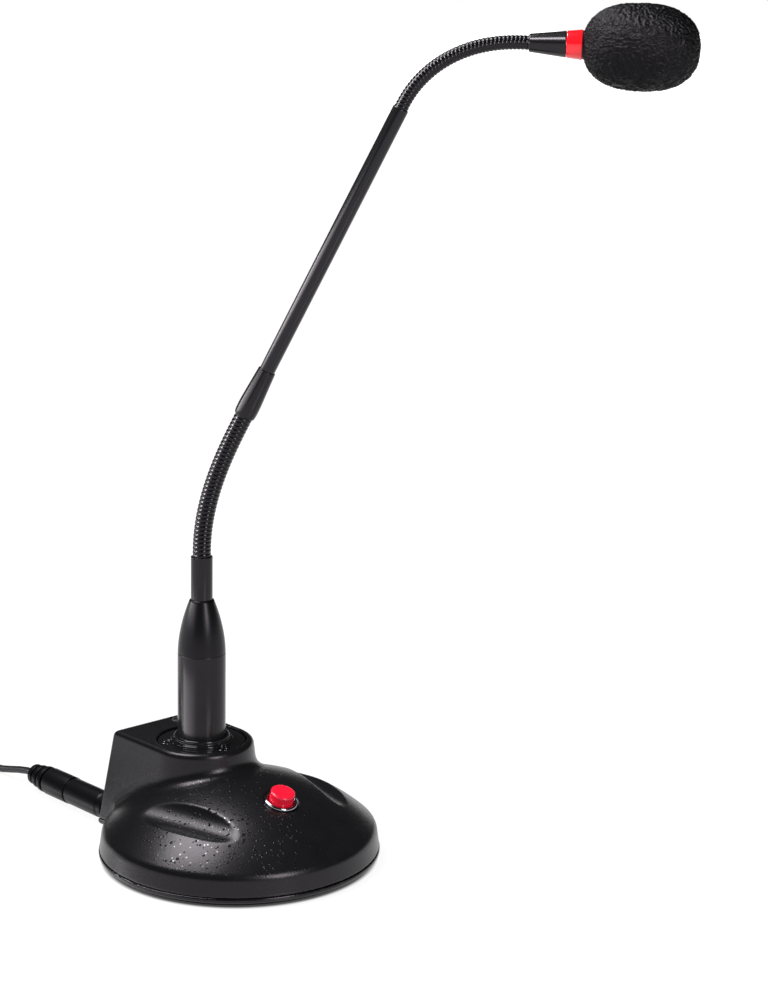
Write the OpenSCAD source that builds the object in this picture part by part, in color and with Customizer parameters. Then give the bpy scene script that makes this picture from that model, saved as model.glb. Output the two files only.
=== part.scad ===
// Push-to-talk desk microphone on a two-stage bendable neck. Millimetres, +Z up.
// The talker sits on the -Y side, and the origin is the middle of the round foot on the table.

/* [Base] */
// Diameter of the round base at the table
base_d = 110; // [104:1:116]
// Height of the crease between the rim band and the dome
rim_h = 11.3; // [10:0.1:13]
// How far the rim leans inwards between the table and the crease
rim_lean = 1.5; // [0.5:0.1:2.5]
// Height of the top of the dome
dome_h = 32; // [30:0.5:34]
// Wall thickness of the moulded housing
wall = 2.5; // [2:0.1:2.8]
// Thickness of the foot pad
pad_t = 1.5; // [1:0.1:2]
// Inset of the foot pad from the rim
pad_inset = 3; // [2:0.5:6]
// Thickness of the steel bottom plate
plate_t = 2.2; // [1.8:0.1:2.6]
// Distance of the plate screws from the rim
boss_inset = 10; // [9:0.5:12]
// Diameter of the bosses that take the plate screws
boss_d = 7; // [6:0.5:8]
// Thickness of the steel ballast
ballast_t = 6.5; // [4:0.5:7]
// How far forward of the middle the ballast's flat back edge lies
ballast_back = -1; // [-6:0.5:1]
// Spacing of the two ballast screws
ballast_screw_gap = 44; // [30:1:50]

/* [Socket block] */
// Distance of the neck's axis behind the middle of the base
neck_setback = 24; // [22:0.5:26]
// Height of the block's top
block_top = 40.4; // [37:0.1:41]
// Width of the block across its top
block_w = 41; // [40:0.5:44]
// Distance from the neck's axis back to the block's top rear edge
block_rear = 31; // [31:0.5:34]
// Angle at which the block's walls spread downwards
block_flare = 7; // [5:0.5:9]

/* [Finger recesses] */
// Radius of the scooped hollow
dimple_r = 10.7; // [9:0.1:12]
// Depth of the hollow below the dome
dimple_depth = 3.2; // [2.5:0.1:4.5]
// Distance of the hollow's middle from the middle of the base
dimple_out = 33.9; // [30:0.1:36]
// Angle by which the hollow's middle lies towards the front
dimple_turn = 14.3; // [0:0.1:20]
// Angle by which the hollow is turned on the dome
dimple_twist = -1.2; // [-6:0.1:6]

/* [Talk button] */
// Distance of the button in front of the middle of the base
button_out = 24.7; // [20:0.1:28]
// Diameter of the red cap
cap_d = 9.5; // [8:0.1:10]
// Height of the cap above the dome when it is released
cap_proud = 4.2; // [3.5:0.1:6]
// Rounding of the cap's top edge
cap_round = 1.2; // [0.4:0.1:2]
// Travel of the button
press_travel = 2.5; // [1.5:0.1:3]
// Outer diameter of the bright ring
bezel_d = 13; // [12.6:0.1:15]
// Width of the recess left round the bright ring
bezel_moat = 0.5; // [0.2:0.1:1]
// Depth of the recess round the ring
bezel_sink = 0.8; // [0.4:0.1:1.2]
// Thickness of the bright ring's flange
bezel_t = 1.4; // [1:0.1:2]
// Length of the threaded bush below the dome
bush_l = 7; // [6.5:0.5:9]
// Wall thickness of the threaded bush
bush_wall = 0.6; // [0.5:0.1:0.8]
// Thickness of the nut under the dome
nut_t = 2; // [1.5:0.1:2.2]
// Height of the switch body
switch_h = 7; // [6.5:0.5:8]
// Length of the switch terminals
terminal_l = 3; // [2:0.5:4]

/* [Mode button] */
// Place of the mode button to the right of the neck's axis
mode_x = 9.5; // [8:0.5:12]
// Place of the mode button behind the neck's axis
mode_back = 25.5; // [25:0.5:26.5]
// Diameter of the mode button
mode_d = 7.8; // [6:0.1:8]
// Travel of the mode button
mode_travel = 1.5; // [1:0.1:1.6]
// Depth of the mode button's guide below the block's top
guide_depth = 11; // [10:0.5:12]

/* [Socket and plug] */
// Diameter of the socket's flange
flange_d = 35; // [33:0.5:36]
// Thickness of the flange
flange_t = 2; // [1.6:0.1:2.4]
// How far the flange's face lies below the block's top
flange_drop = 0.6; // [0.3:0.1:1]
// Diameter of the circle of flange screws
flange_pcd = 27.6; // [26:0.1:28]
// Outer diameter of the socket's collar
collar_d = 22.2; // [21.6:0.1:23]
// Height of the collar above the flange
collar_h = 2.7; // [2:0.1:4]
// Depth of the socket from the collar's rim to its floor
socket_depth = 17; // [15:0.5:18]
// Diameter of the neck's plug shell
shell_d = 19; // [18.6:0.1:19.4]
// Wall thickness of the plug shell
shell_wall = 1.5; // [1.2:0.1:1.8]
// Height of the plug shell's top edge
shell_top = 75.6; // [70:0.2:80]
// Diameter of a contact pin
pin_d = 2.4; // [2:0.1:2.6]
// Diameter of the circle of contact pins
pin_pcd = 8; // [7.4:0.1:8.4]

/* [Neck] */
// Direction in which the neck leans, from +X towards the back
neck_turn = -50; // [-90:1:-30]
// Height of the boot
boot_h = 21.6; // [18:0.2:26]
// Diameter of the boot's top
boot_top_d = 9.8; // [9:0.1:11]
// Length of the lower ferrule
ferrule_l = 17.1; // [14:0.1:20]
// Diameter of the lower ferrule
ferrule_d = 8.6; // [8.2:0.1:9]
// Length of the lower gooseneck
lower_l = 59.5; // [50:0.5:75]
// Diameter of the lower gooseneck
lower_d = 7.3; // [6.6:0.1:7.6]
// Number of ribs of the lower gooseneck
lower_ribs = 36; // [28:1:44]
// Angle through which the lower gooseneck is bent
lower_bend = 26.5; // [10:0.5:45]
// Length of the coupling sleeve
sleeve_l = 20.3; // [18:0.1:26]
// Largest diameter of the coupling sleeve
sleeve_d = 8.8; // [8.2:0.1:9.4]
// Diameter of the sleeve's upper end
sleeve_top_d = 7; // [6.8:0.1:7.6]
// Length of the rigid tube above the sleeve
tube_l = 114; // [90:1:140]
// Diameter of the rigid tube
tube_d = 6.2; // [5.8:0.1:6.4]
// Wall thickness of the rigid tube
tube_wall = 1; // [0.8:0.1:1.1]
// Length of the upper gooseneck
upper_l = 57.5; // [45:0.5:65]
// Diameter of the upper gooseneck
upper_d = 5.5; // [5.2:0.1:5.8]
// Number of ribs of the upper gooseneck
upper_ribs = 38; // [30:1:46]
// Angle through which the upper gooseneck is bent
upper_bend = 65; // [30:0.5:75]
// Depth of the ribs
rib_depth = 0.5; // [0.3:0.05:0.6]
// Diameter of the lead inside the neck
lead_d = 2.4; // [2:0.1:2.6]

/* [Head] */
// Length of the cone
cone_l = 14; // [12:0.5:18]
// Diameter of the cone at the gooseneck
cone_small_d = 6.8; // [6.2:0.1:7.4]
// Diameter of the cone at the light ring
cone_big_d = 10.1; // [9.8:0.1:10.4]
// Length of the light ring
ring_l = 6; // [5:0.2:8]
// Diameter of the light ring at the windscreen
ring_big_d = 11.4; // [11:0.1:12]
// Diameter of the capsule housing
capsule_housing_d = 10.8; // [10.6:0.1:11.2]
// Length of the capsule housing in front of the light ring
capsule_housing_l = 18; // [16:0.5:22]
// Diameter of the microphone capsule
capsule_d = 9.7; // [9.4:0.1:9.8]
// Height of the microphone capsule
capsule_h = 6.7; // [5:0.1:7]
// Length of the foam windscreen
foam_l = 43.5; // [36:0.5:48]
// Diameter of the foam windscreen
foam_d = 32.6; // [26:0.1:36]
// Fullness of the windscreen's shoulders, where 2 is an ellipse
foam_fullness = 2.4; // [2:0.1:3]

/* [Board] */
// Width of the circuit board
board_w = 34; // [32:0.5:36]
// Length of the circuit board
board_l = 51; // [49:0.5:52]
// Place of the board's front edge
board_front = 3; // [2:0.5:4]
// Thickness of the circuit board
board_t = 1.6; // [1.2:0.1:2]
// Height of the standoffs
standoff_h = 10.4; // [9.5:0.1:11]
// Distance between the front and rear standoffs
standoff_gap = 30; // [28:0.5:30]

/* [Cord] */
// Diameter of the cord
cord_d = 3; // [2.8:0.1:3]
// Place of the cord's jack across the rear wall
jack_x = -18.6; // [-18.6:0.1:18.6]
// Width and height of the jack's body
jack_size = 5.2; // [5:0.1:5.2]
// Diameter of the near plug's pin
near_pin_d = 3.5; // [3.5:0.1:3.6]
// Length of the near plug's pin
near_pin_l = 14; // [12:0.5:14]
// Diameter of the moulded plugs
plug_d = 11.2; // [10:0.1:11.2]
// Length of the near plug's moulding
near_plug_l = 53; // [53:1:53]
// Length of the far plug's moulding
far_plug_l = 40; // [36:1:44]
// Diameter of the far plug's pin
far_pin_d = 6.35; // [6.3:0.05:6.4]
// Length of the far plug's pin
far_pin_l = 31; // [28:0.5:32]
// Loops in each layer of the coil
coil_loops = 3; // [2:1:3]
// Layers of the coil
coil_layers = 4; // [2:2:4]
// Step between neighbouring loops
coil_step = 4; // [4:0.1:4.2]
// Step between layers
coil_rise = 3.6; // [3.5:0.1:3.8]
// Width of the coil's ties
tie_w = 8; // [6:0.5:9]
// Thickness of the coil's ties
tie_t = 1; // [0.8:0.1:1]

/* [Fits] */
// Radial clearance of a sliding or screwed fit
slide_fit = 0.1; // [0.05:0.01:0.1]
// Clearance of a piece that is held in place
snug_fit = 0.05; // [0.03:0.01:0.1]
// Clearance round a piece that moves or lies free
free_fit = 0.35; // [0.3:0.01:0.5]

/* [Hidden] */
$fn = 64;

black_plastic = "#26262a";
black_metal = "#1d1d20";
black_rubber = "#161618";
bright_metal = "#c9ccd1";
brass_metal = "#c8a24a";
steel_metal = "#8d9096";
board_green = "#2f6b45";
signal_red = "#d8132c";

// Longer than any piece, for cutting shapes
reach = 200;
// Overshoot of cuts past the faces they open
over = 1;

// Base
base_r = base_d / 2;
seam_z = pad_t + plate_t;
function rim_r(z) = base_r - rim_lean * z / rim_h;
crease_r = rim_r(rim_h);
dome_rise = dome_h - rim_h;
dome_r = (crease_r * crease_r + dome_rise * dome_rise) / (2 * dome_rise);
dome_z = dome_h - dome_r;
boss_out = base_r - boss_inset;
boss_r = boss_d / 2;
plate_screw_r = 1.5;
plate_screw_head_r = 2.8;
plate_screw_l = 10;
pad_hole_gap = 1;
pad_hole_r = plate_screw_head_r + pad_hole_gap;
boss_angles = [45, 135, 225, 315];
ballast_gap = 1;
ballast_r = boss_out - boss_r - ballast_gap;
ballast_screw_r = 2;
ballast_screw_head_r = 3.6;
ballast_screw_y = ballast_back - ballast_r / 2;

// Socket block, whose flat sides lie a step inside its round front, so that the two meet in an edge
side_step = 0.15;
function block_half(z) = block_w / 2 + (block_top - z) * tan(block_flare);
function block_back(z) = neck_setback + block_rear + (block_top - z) * tan(block_flare);

// Finger recesses
dimple_tilt = asin(dimple_out / dome_r);
dimple_length = 2 * dome_r;

// Talk button, measured along its own axis from the dome's surface
button_tilt = asin(button_out / dome_r);
cap_r = cap_d / 2;
bezel_r = bezel_d / 2;
bezel_lip_r = cap_r + free_fit;
button_catch = 0.1;
button_flange_r = bezel_lip_r + button_catch;
button_flange_t = 1.2;
bush_bore_r = button_flange_r + free_fit;
bush_r = bush_bore_r + bush_wall;
lip_t = 0.7;
lip_bottom = -bezel_sink - lip_t;
rest_gap = 0.3;
flange_top = lip_bottom - rest_gap;
cap_bottom = flange_top - button_flange_t;
switch_step = 0.3;
switch_r = bush_r + switch_step;
switch_floor_t = 1.5;
switch_bottom = -bush_l - switch_h;
switch_cavity_floor = switch_bottom + switch_floor_t;
button_stem_r = 1.8;
stem_gap = 0.5;
button_stem_bottom = switch_cavity_floor + press_travel + stem_gap;
button_spring_r = 3.4;
button_wire_r = 0.4;
button_spring_curls = 5;
nut_w = 2.5;
nut_corner_r = bush_r + nut_w;
nut_gap = 0.1;
nut_top = -wall - nut_corner_r * nut_corner_r / (2 * (dome_r - wall)) - nut_gap;
terminal_gap = 6;
terminal_bottom = switch_bottom - terminal_l;
terminal_w = 2;
terminal_t = 0.8;

// Board
board_z = seam_z + standoff_h;
board_top = board_z + board_t;
standoff_r = 2.5;
board_screw_r = 1.25;
board_screw_head_r = 2.2;
board_screw_head_h = 1.4;
board_screw_grip = 5;
standoff_side = 3;
standoff_x = board_w / 2 - standoff_side;
standoff_end = 4;
standoff_front = board_front + standoff_end;
standoff_places = [
    for (x = [-standoff_x, standoff_x]) for (y = [0, standoff_gap]) [x, standoff_front + y, 0]
];

// Mode button
mode_r = mode_d / 2;
mode_y = neck_setback + mode_back;
guide_floor_t = 1.5;
guide_floor_top = block_top - guide_depth + guide_floor_t;
guide_wall = 1.6;
guide_r = mode_r + free_fit + guide_wall;
mode_sink = 0.2;
mode_cap_top = block_top - mode_sink;
mode_cap_h = 4.7;
mode_cap_bottom = mode_cap_top - mode_cap_h;
mode_stem_r = 1.4;
clip_t = 0.8;
clip_r = 2.6;
clip_top = block_top - guide_depth - rest_gap;
mode_spring_r = 2.5;
mode_wire_r = 0.3;
mode_spring_curls = 4;
mode_switch_w = 6;
mode_switch_h = 3.6;
plunger_r = 1.7;
plunger_floor = 0.5;
plunger_gap = 0.2;
plunger_bottom = board_top + plunger_floor + mode_travel + plunger_gap;
plunger_top = board_top + mode_switch_h + mode_travel + rest_gap;

// Socket and plug
flange_r = flange_d / 2;
flange_face = block_top - flange_drop;
flange_seat = flange_face - flange_t;
ledge_t = 2.5;
ledge_rim = 1.7;
ledge_r = flange_r + ledge_rim;
collar_r = collar_d / 2;
collar_top = flange_face + collar_h;
shell_r = shell_d / 2;
shell_bore_r = shell_r - shell_wall;
shell_core_r = shell_bore_r - snug_fit;
socket_bore_r = shell_r + slide_fit;
socket_floor = collar_top - socket_depth;
socket_floor_t = 1.5;
socket_bottom = socket_floor - socket_floor_t;
socket_insert_r = shell_bore_r - free_fit;
socket_insert_drop = 3.5;
socket_insert_top = collar_top - socket_insert_drop;
shell_bottom = socket_floor + rest_gap;
plug_insert_bottom = socket_insert_top + rest_gap;
plug_insert_h = 8;
pin_r = pin_d / 2;
pin_clear = 2.4;
pin_bottom = socket_floor + pin_clear;
solder_l = 1;
pin_top = plug_insert_bottom + plug_insert_h + solder_l;
contact_bore_r = pin_r + snug_fit;
contact_wall = 0.4;
contact_r = contact_bore_r + contact_wall;
contact_bottom = socket_floor + rest_gap;
contact_top = socket_insert_top - rest_gap;
contact_bore_gap = 0.5;
contact_tail_r = 0.9;
tail_out = 0.6;
contact_tail_bottom = board_z - tail_out;
pin_angles = [90, 210, 330];
flange_screw_angles = [30, 150, 270];
flange_screw_r = 1.25;
flange_screw_head_r = 2.5;
flange_screw_l = 8;
flange_screw_tip = flange_face - flange_screw_l;
flange_boss_r = 3.2;

// Neck
lead_r = lead_d / 2;
lead_room = 0.7;
lead_bore_r = lead_r + lead_room;
boot_spigot_l = 5;
boot_bottom = shell_top - boot_spigot_l;
boot_power = 1.85;
boot_steps = 8;
boot_top = shell_top + boot_h;
ferrule_r = ferrule_d / 2;
ferrule_step = 0.9;
ferrule_spigot_r = ferrule_r - ferrule_step;
ferrule_spigot_l = 6;
ferrule_top = boot_top + ferrule_l;
lower_r = lower_d / 2;
lower_power = 1.66;
tube_r = tube_d / 2;
tube_bore_r = tube_r - tube_wall;
tube_seat = 8;
sleeve_step = 0.3;
sleeve_end_r = lower_r + sleeve_step;
sleeve_r = sleeve_d / 2;
sleeve_nose_l = 3;
sleeve_band_end = 6;
upper_r = upper_d / 2;
upper_power = 1.23;
rib_sides = 8;
bore_rings = 12;
lead_rings = 16;
lead_end = 0.02;
lead_gap = 0.1;
upper_bore_step = 0.2;
upper_bore_r = lead_bore_r - upper_bore_step;
hose_straight = 1.5;
path_steps = 240;

// Share of a gooseneck's bend that is reached at a share u of its length; both ends stay straight
function bend_share(u, length, straight, power) =
    let (v = min(max((u * length - straight) / (length - 2 * straight), 0), 1)) 1 - pow(1 - v, power);
function bend_angle(u, length, straight, power, first, turn) =
    first + turn * bend_share(u, length, straight, power);

// Middle line of a gooseneck in the neck's plane, as [out, 0, up] points at equal steps
function neck_line(from, length, straight, power, first, turn) =
    let (step = length / path_steps)
    [for (
        i = 0, p = from;
        i <= path_steps;
        a = bend_angle((i + 0.5) / path_steps, length, straight, power, first, turn),
        p = p + step * [sin(a), 0, cos(a)],
        i = i + 1
    ) p];
function line_at(line, u) =
    let (x = u * path_steps, i = min(floor(x), path_steps - 1)) line[i] + (x - i) * (line[i + 1] - line[i]);

lower_start = [0, 0, ferrule_top];
lower_line = neck_line(lower_start, lower_l, hose_straight, lower_power, 0, lower_bend);
lower_end = lower_line[path_steps];
tube_dir = [sin(lower_bend), 0, cos(lower_bend)];
tube_end = lower_end + (sleeve_l + tube_l) * tube_dir;
head_angle = lower_bend + upper_bend;
upper_line = neck_line(tube_end, upper_l, hose_straight, upper_power, lower_bend, upper_bend);
upper_end = upper_line[path_steps];

// Head, measured along its own axis from the end of the upper gooseneck
cone_small_r = cone_small_d / 2;
cone_big_r = cone_big_d / 2;
ring_big_r = ring_big_d / 2;
ring_bore_r = 3.6;
ring_end = cone_l + ring_l;
ring_spigot_l = 1.6;
ring_spigot_r = ring_bore_r - snug_fit;
led_board_t = 1;
led_gap = 0.2;
led_board_z = cone_l + ring_spigot_l + led_gap;
led_size = 0.8;
led_in = 0.96;
capsule_housing_r = capsule_housing_d / 2;
capsule_housing_end = ring_end + capsule_housing_l;
capsule_r = capsule_d / 2;
capsule_bore_r = capsule_r + snug_fit;
grille_t = 0.8;
grille_rows = 3;
grille_hole_r = 0.45;
grille_step = capsule_r / (grille_rows + 1);
port_r = 1;
port_depth = 0.6;
capsule_front = capsule_housing_end - grille_t;
capsule_back = capsule_front - capsule_h;
seal_t = 1.5;
capsule_floor = capsule_back - seal_t;
foam_bore_r = capsule_housing_r + snug_fit;
foam_bore_l = capsule_housing_l + rest_gap;
foam_steps = 14;

// Cord
cord_r = cord_d / 2;
jack_z = seam_z + jack_size / 2;
jack_l = 13;
jack_bush_r = jack_size / 2;
near_pin_r = near_pin_d / 2;
jack_bore_r = near_pin_r + snug_fit;
jack_wall_y = block_back(jack_z) - wall / cos(block_flare);
jack_gap = 0.2;
jack_body_end = jack_wall_y - (jack_size / 2) * tan(block_flare) - jack_gap;
jack_bush_end = block_back(0);
near_plug_y = jack_bush_end + jack_gap;
near_plug_end = near_plug_y + near_plug_l;
near_pin_tip = near_plug_y - near_pin_l;
plug_r = plug_d / 2;
plug_ribs = 3;
plug_rib_l = 12;
plug_rib_gap = 0.4;
plug_rib_taper = 0.6;
plug_seam_l = 16;
plug_seam_w = 0.6;
plug_seam_depth = 0.6;
plug_step = 0.2;
plug_nose_l = 3;
plug_nose_step = 0.5;
plug_core_wall = 1.9;
cord_sides = 8;
coil_sides = 6;
coil_rings = 24;
tie_gap = 0.3;
coil_out_r = 23;
coil_in_r = coil_out_r - coil_loops * coil_step;
coil_z = cord_r + tie_t + tie_gap;
coil_top = coil_z + (coil_layers - 1) * coil_rise;
coil_mid = [-45, 192];
coil_turns = coil_layers * coil_loops + (coil_layers - 1) / 2;
tie_angles = [65, 245];
far_plug_z = 6;
far_pin_r = far_pin_d / 2;
far_tip_l = 9;
far_sleeve_l = far_pin_l - far_tip_l;
far_neck_r = far_pin_r - 0.9;
far_shoulder_r = far_pin_r - 0.7;
far_tip_r = far_pin_r - 0.1;
far_point_r = 0.6;
far_shoulder_l = far_sleeve_l + 1;
far_neck_l = far_sleeve_l + 3;
far_bulb_l = far_sleeve_l + 4.5;
far_taper_l = far_sleeve_l + 6;

// The cord from the near plug to the coil, and from the coil to the far plug
run_points = [
    [jack_x, near_plug_end, jack_z], [-18.6, 119, 6.1], [-18.7, 125, 5], [-18.9, 131, 3.6],
    [-19.2, 137, 2.3], [-19.6, 143, 1.6], [-20, 150, 1.5], [-20.5, 157, 1.5], [-21, 165, 1.6],
    [-21.5, 173, 2], [-21.8, 180, 2.5], [-22, 185, 2.8], [-22, 189, 2.8]
];
tail_points = [
    [-68, 189, coil_top], [-68, 185, 13.4], [-68, 179, 12.2], [-68, 173, 10.2], [-68, 167, 8],
    [-68, 161, 6.5], [-68, 156, 6], [-68, 152, far_plug_z]
];
far_plug_y = tail_points[len(tail_points) - 1][1];

// Coil of spiralling loops: in, up, out, up and so on; t counts turns from its lower outer end
function coil_point(t) =
    let (
        span = coil_loops + 0.5,
        layer = min(floor(t / span), coil_layers - 1),
        part = t - layer * span,
        share = min(part / coil_loops, 1),
        climb = max(part - coil_loops, 0) * 2,
        inward = layer % 2 == 0,
        width = share * (coil_out_r - coil_in_r),
        r = inward ? coil_out_r - width : coil_in_r + width
    )
    [coil_mid[0] + r * cos(360 * t), coil_mid[1] + r * sin(360 * t), coil_z + (layer + climb) * coil_rise];
coil_spiral = [for (i = [0 : coil_turns * coil_rings]) coil_point(i / coil_rings)];
coil_points = concat(
    [coil_spiral[0] - [0, cord_d, 0]],
    coil_spiral,
    [coil_spiral[len(coil_spiral) - 1] - [0, cord_d, 0]]
);

// Least distance between stretches of the coil that aren't neighbours, less the cord's diameter
function coil_gap() =
    let (n = len(coil_spiral), skip = coil_rings / 3)
    min([
        for (i = [0 : n - 1 - skip]) for (j = [i + skip : n - 1]) norm(coil_spiral[i] - coil_spiral[j])
    ]) - cord_d;

// Tubes swept along points
function unit(v) = v / norm(v);
function direction(points, i) = unit(points[min(i + 1, len(points) - 1)] - points[max(i - 1, 0)]);
function ring(at, along, r, sides, side) =
    let (a = unit(cross(along, side)), b = cross(a, along))
    [for (k = [0 : sides - 1]) at + r * (cos(360 * k / sides) * a + sin(360 * k / sides) * b)];
function rings(points, r, sides, side) =
    [for (i = [0 : len(points) - 1]) ring(points[i], direction(points, i), r, sides, side)];
function flat(lists) = [for (list = lists) each list];
// Faces of the wall between consecutive rings, with the first ring's points starting at index from
function wall_faces(count, sides, from, inside) =
    [for (i = [0 : count - 2]) for (k = [0 : sides - 1])
        let (
            a = from + i * sides + k, b = from + i * sides + (k + 1) % sides,
            c = a + sides, d = b + sides
        )
        each inside ? [[a, c, b], [b, c, d]] : [[a, b, c], [b, d, c]]];

module solid_tube(points, r, sides, side) {
    loops = rings(points, r, sides, side);
    last = (len(points) - 1) * sides;
    polyhedron(
        flat(loops),
        concat(
            wall_faces(len(points), sides, 0, false),
            [for (k = [1 : sides - 2]) [0, k + 1, k]],
            [for (k = [1 : sides - 2]) [last, last + k, last + k + 1]]
        )
    );
}

// Tube with an outer wall and a bore, each a list of rings of the same sides
module hollow_tube(outer, inner, sides) {
    bore = len(outer) * sides;
    outer_last = bore - sides;
    inner_last = bore + (len(inner) - 1) * sides;
    polyhedron(
        flat(concat(outer, inner)),
        concat(
            wall_faces(len(outer), sides, 0, false),
            wall_faces(len(inner), sides, bore, true),
            [for (k = [0 : sides - 1]) let (n = (k + 1) % sides)
                each [[k, bore + k, n], [n, bore + k, bore + n]]],
            [for (k = [0 : sides - 1]) let (n = (k + 1) % sides)
                each [
                    [outer_last + k, outer_last + n, inner_last + k],
                    [outer_last + n, inner_last + n, inner_last + k]
                ]]
        )
    );
}

module ribbed_hose(line, length, straight, power, first, turn, r, bore_r, ribs) {
    function section(u, radius) =
        let (a = bend_angle(u, length, straight, power, first, turn))
        ring(line_at(line, u), [sin(a), 0, cos(a)], radius, rib_sides, [0, 1, 0]);
    outer = [for (i = [0 : 2 * ribs]) section(i / (2 * ribs), i % 2 == 0 ? r - rib_depth : r)];
    inner = [for (i = [0 : bore_rings]) section(i / bore_rings, bore_r)];
    hollow_tube(outer, inner, rib_sides);
}

// Lead along a gooseneck's middle line, with a point close to each end so that its end faces stand square
module bent_lead(line) {
    shares = concat([0, lead_end], [for (i = [1 : lead_rings - 1]) i / lead_rings], [1 - lead_end, 1]);
    solid_tube([for (share = shares) line_at(line, share)], lead_r, cord_sides, [0, 1, 0]);
}

// Coiled spring standing on z = low
module coil_spring(low, high, r, wire_r, curls) {
    steps = curls * 8;
    solid_tube(
        [for (i = [0 : steps])
            [r * cos(45 * i), r * sin(45 * i), low + wire_r + (high - low - 2 * wire_r) * i / steps]],
        wire_r, coil_sides, [0, 0, 1]
    );
}

module pipe(low, high, r, bore_r) {
    difference() {
        translate([0, 0, low]) cylinder(h = high - low, r = r);
        translate([0, 0, low - over]) cylinder(h = high - low + 2 * over, r = bore_r);
    }
}

// Countersunk screw with its flat head's face at z = 0 and its shank downwards
module flat_screw(length, r, head_r) {
    head_h = head_r - r;
    translate([0, 0, -head_h]) cylinder(h = head_h, r1 = r, r2 = head_r);
    translate([0, 0, -length]) cylinder(h = length - head_h, r = r);
}
// Hole that a countersunk screw leaves in a plate
module flat_screw_hole(depth, r, head_r) {
    head_h = head_r - r;
    translate([0, 0, -head_h]) cylinder(h = head_h, r1 = r + snug_fit, r2 = head_r + snug_fit);
    translate([0, 0, -depth]) cylinder(h = depth + over, r = r + snug_fit);
    cylinder(h = over, r = head_r + snug_fit);
}

// Places
module from_below(z) {
    translate([0, 0, z]) mirror([0, 0, 1]) children();
}
module at_button() {
    translate([0, 0, dome_z]) rotate([button_tilt, 0, 0]) translate([0, 0, dome_r]) children();
}
module at_dimples() {
    for (side = [0, 1])
        mirror([side, 0, 0])
            translate([0, 0, dome_z])
                rotate([0, 0, -dimple_turn])
                    rotate([0, dimple_tilt, 0])
                        translate([0, 0, dome_r + dimple_r - dimple_depth])
                            rotate([0, 0, -dimple_twist])
                                rotate([90, 0, 0]) children();
}
module at_bosses() {
    for (angle = boss_angles) rotate([0, 0, angle]) translate([boss_out, 0, 0]) children();
}
module at_ballast_screws() {
    for (side = [-1, 1]) translate([side * ballast_screw_gap / 2, ballast_screw_y, 0]) children();
}
module at_standoffs() {
    for (place = standoff_places) translate(place) children();
}
module at_mode() {
    translate([mode_x, mode_y, 0]) children();
}
module at_neck() {
    translate([0, neck_setback, 0]) rotate([0, 0, neck_turn]) children();
}
module at_socket() {
    translate([0, neck_setback, 0]) children();
}
module at_flange_screws() {
    at_socket()
        for (angle = flange_screw_angles)
            rotate([0, 0, angle]) translate([flange_pcd / 2, 0, 0]) children();
}
module at_pins() {
    at_socket() for (angle = pin_angles) rotate([0, 0, angle]) translate([pin_pcd / 2, 0, 0]) children();
}
module at_tube() {
    at_neck() translate(lower_end) rotate([0, lower_bend, 0]) children();
}
module at_head() {
    at_neck() translate(upper_end) rotate([0, head_angle, 0]) children();
}
// Puts a shape turned about +Z on an axis that runs along +Y at the jack
module along_jack() {
    translate([jack_x, 0, jack_z]) rotate([-90, 0, 0]) children();
}
module along_far_plug() {
    translate([tail_points[0][0], far_plug_y, far_plug_z]) rotate([90, 0, 0]) children();
}

// Housing
module dome_form(inset, low) {
    high = dome_h + over;
    intersection() {
        translate([0, 0, dome_z]) sphere(r = dome_r - inset);
        translate([0, 0, low]) cylinder(h = high - low, r1 = rim_r(low) - inset, r2 = rim_r(high) - inset);
    }
}
// Everything inside a side wall that leans outwards downwards
module inside_side_wall(inset) {
    translate([block_half(block_top) - side_step - inset, 0, block_top])
        rotate([0, -block_flare, 0])
            translate([-2 * reach, -reach, -reach]) cube([2 * reach, 2 * reach, 2 * reach]);
}
module inside_rear_wall(inset) {
    translate([0, block_rear - inset, block_top])
        rotate([block_flare, 0, 0])
            translate([-reach, -2 * reach, -reach]) cube([2 * reach, 2 * reach, 2 * reach]);
}
module block_form(inset, low, high) {
    at_socket() {
        translate([0, 0, low])
            cylinder(h = high - low, r1 = block_half(low) - inset, r2 = block_half(high) - inset);
        intersection() {
            translate([-reach, 0, low]) cube([2 * reach, reach, high - low]);
            inside_side_wall(inset);
            mirror([1, 0, 0]) inside_side_wall(inset);
            inside_rear_wall(inset);
        }
    }
}
module housing_form() {
    dome_form(0, seam_z);
    block_form(0, seam_z, block_top);
}
module housing_ribs() {
    at_bosses() translate([0, 0, seam_z]) cylinder(h = dome_h, r = boss_r);
    at_dimples() cylinder(h = dimple_length, r = dimple_r + wall, center = true);
    at_socket() translate([0, 0, flange_seat - ledge_t]) cylinder(h = ledge_t + flange_t, r = ledge_r);
    at_flange_screws()
        translate([0, 0, flange_screw_tip - over]) cylinder(h = flange_screw_l, r = flange_boss_r);
    at_mode() translate([0, 0, block_top - guide_depth]) cylinder(h = guide_depth, r = guide_r);
}
module housing_holes() {
    at_dimples() cylinder(h = dimple_length, r = dimple_r, center = true);
    at_bosses() translate([0, 0, seam_z - over]) cylinder(h = plate_screw_l, r = plate_screw_r + snug_fit);
    at_socket() {
        translate([0, 0, flange_seat]) cylinder(h = reach, r = flange_r + slide_fit);
        translate([0, 0, socket_bottom]) cylinder(h = reach, r = collar_r + slide_fit);
    }
    at_flange_screws()
        translate([0, 0, flange_screw_tip - rest_gap]) cylinder(h = reach, r = flange_screw_r + snug_fit);
    at_mode() {
        translate([0, 0, guide_floor_top]) cylinder(h = reach, r = mode_r + free_fit);
        cylinder(h = reach, r = mode_stem_r + free_fit);
    }
    at_button() {
        translate([0, 0, -bezel_sink]) cylinder(h = reach, r = bezel_r + bezel_moat);
        translate([0, 0, -2 * bush_l]) cylinder(h = reach, r = bush_r + slide_fit);
    }
    along_jack()
        translate([0, 0, neck_setback + block_rear / 2]) cylinder(h = reach, r = jack_bush_r + slide_fit);
}
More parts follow.
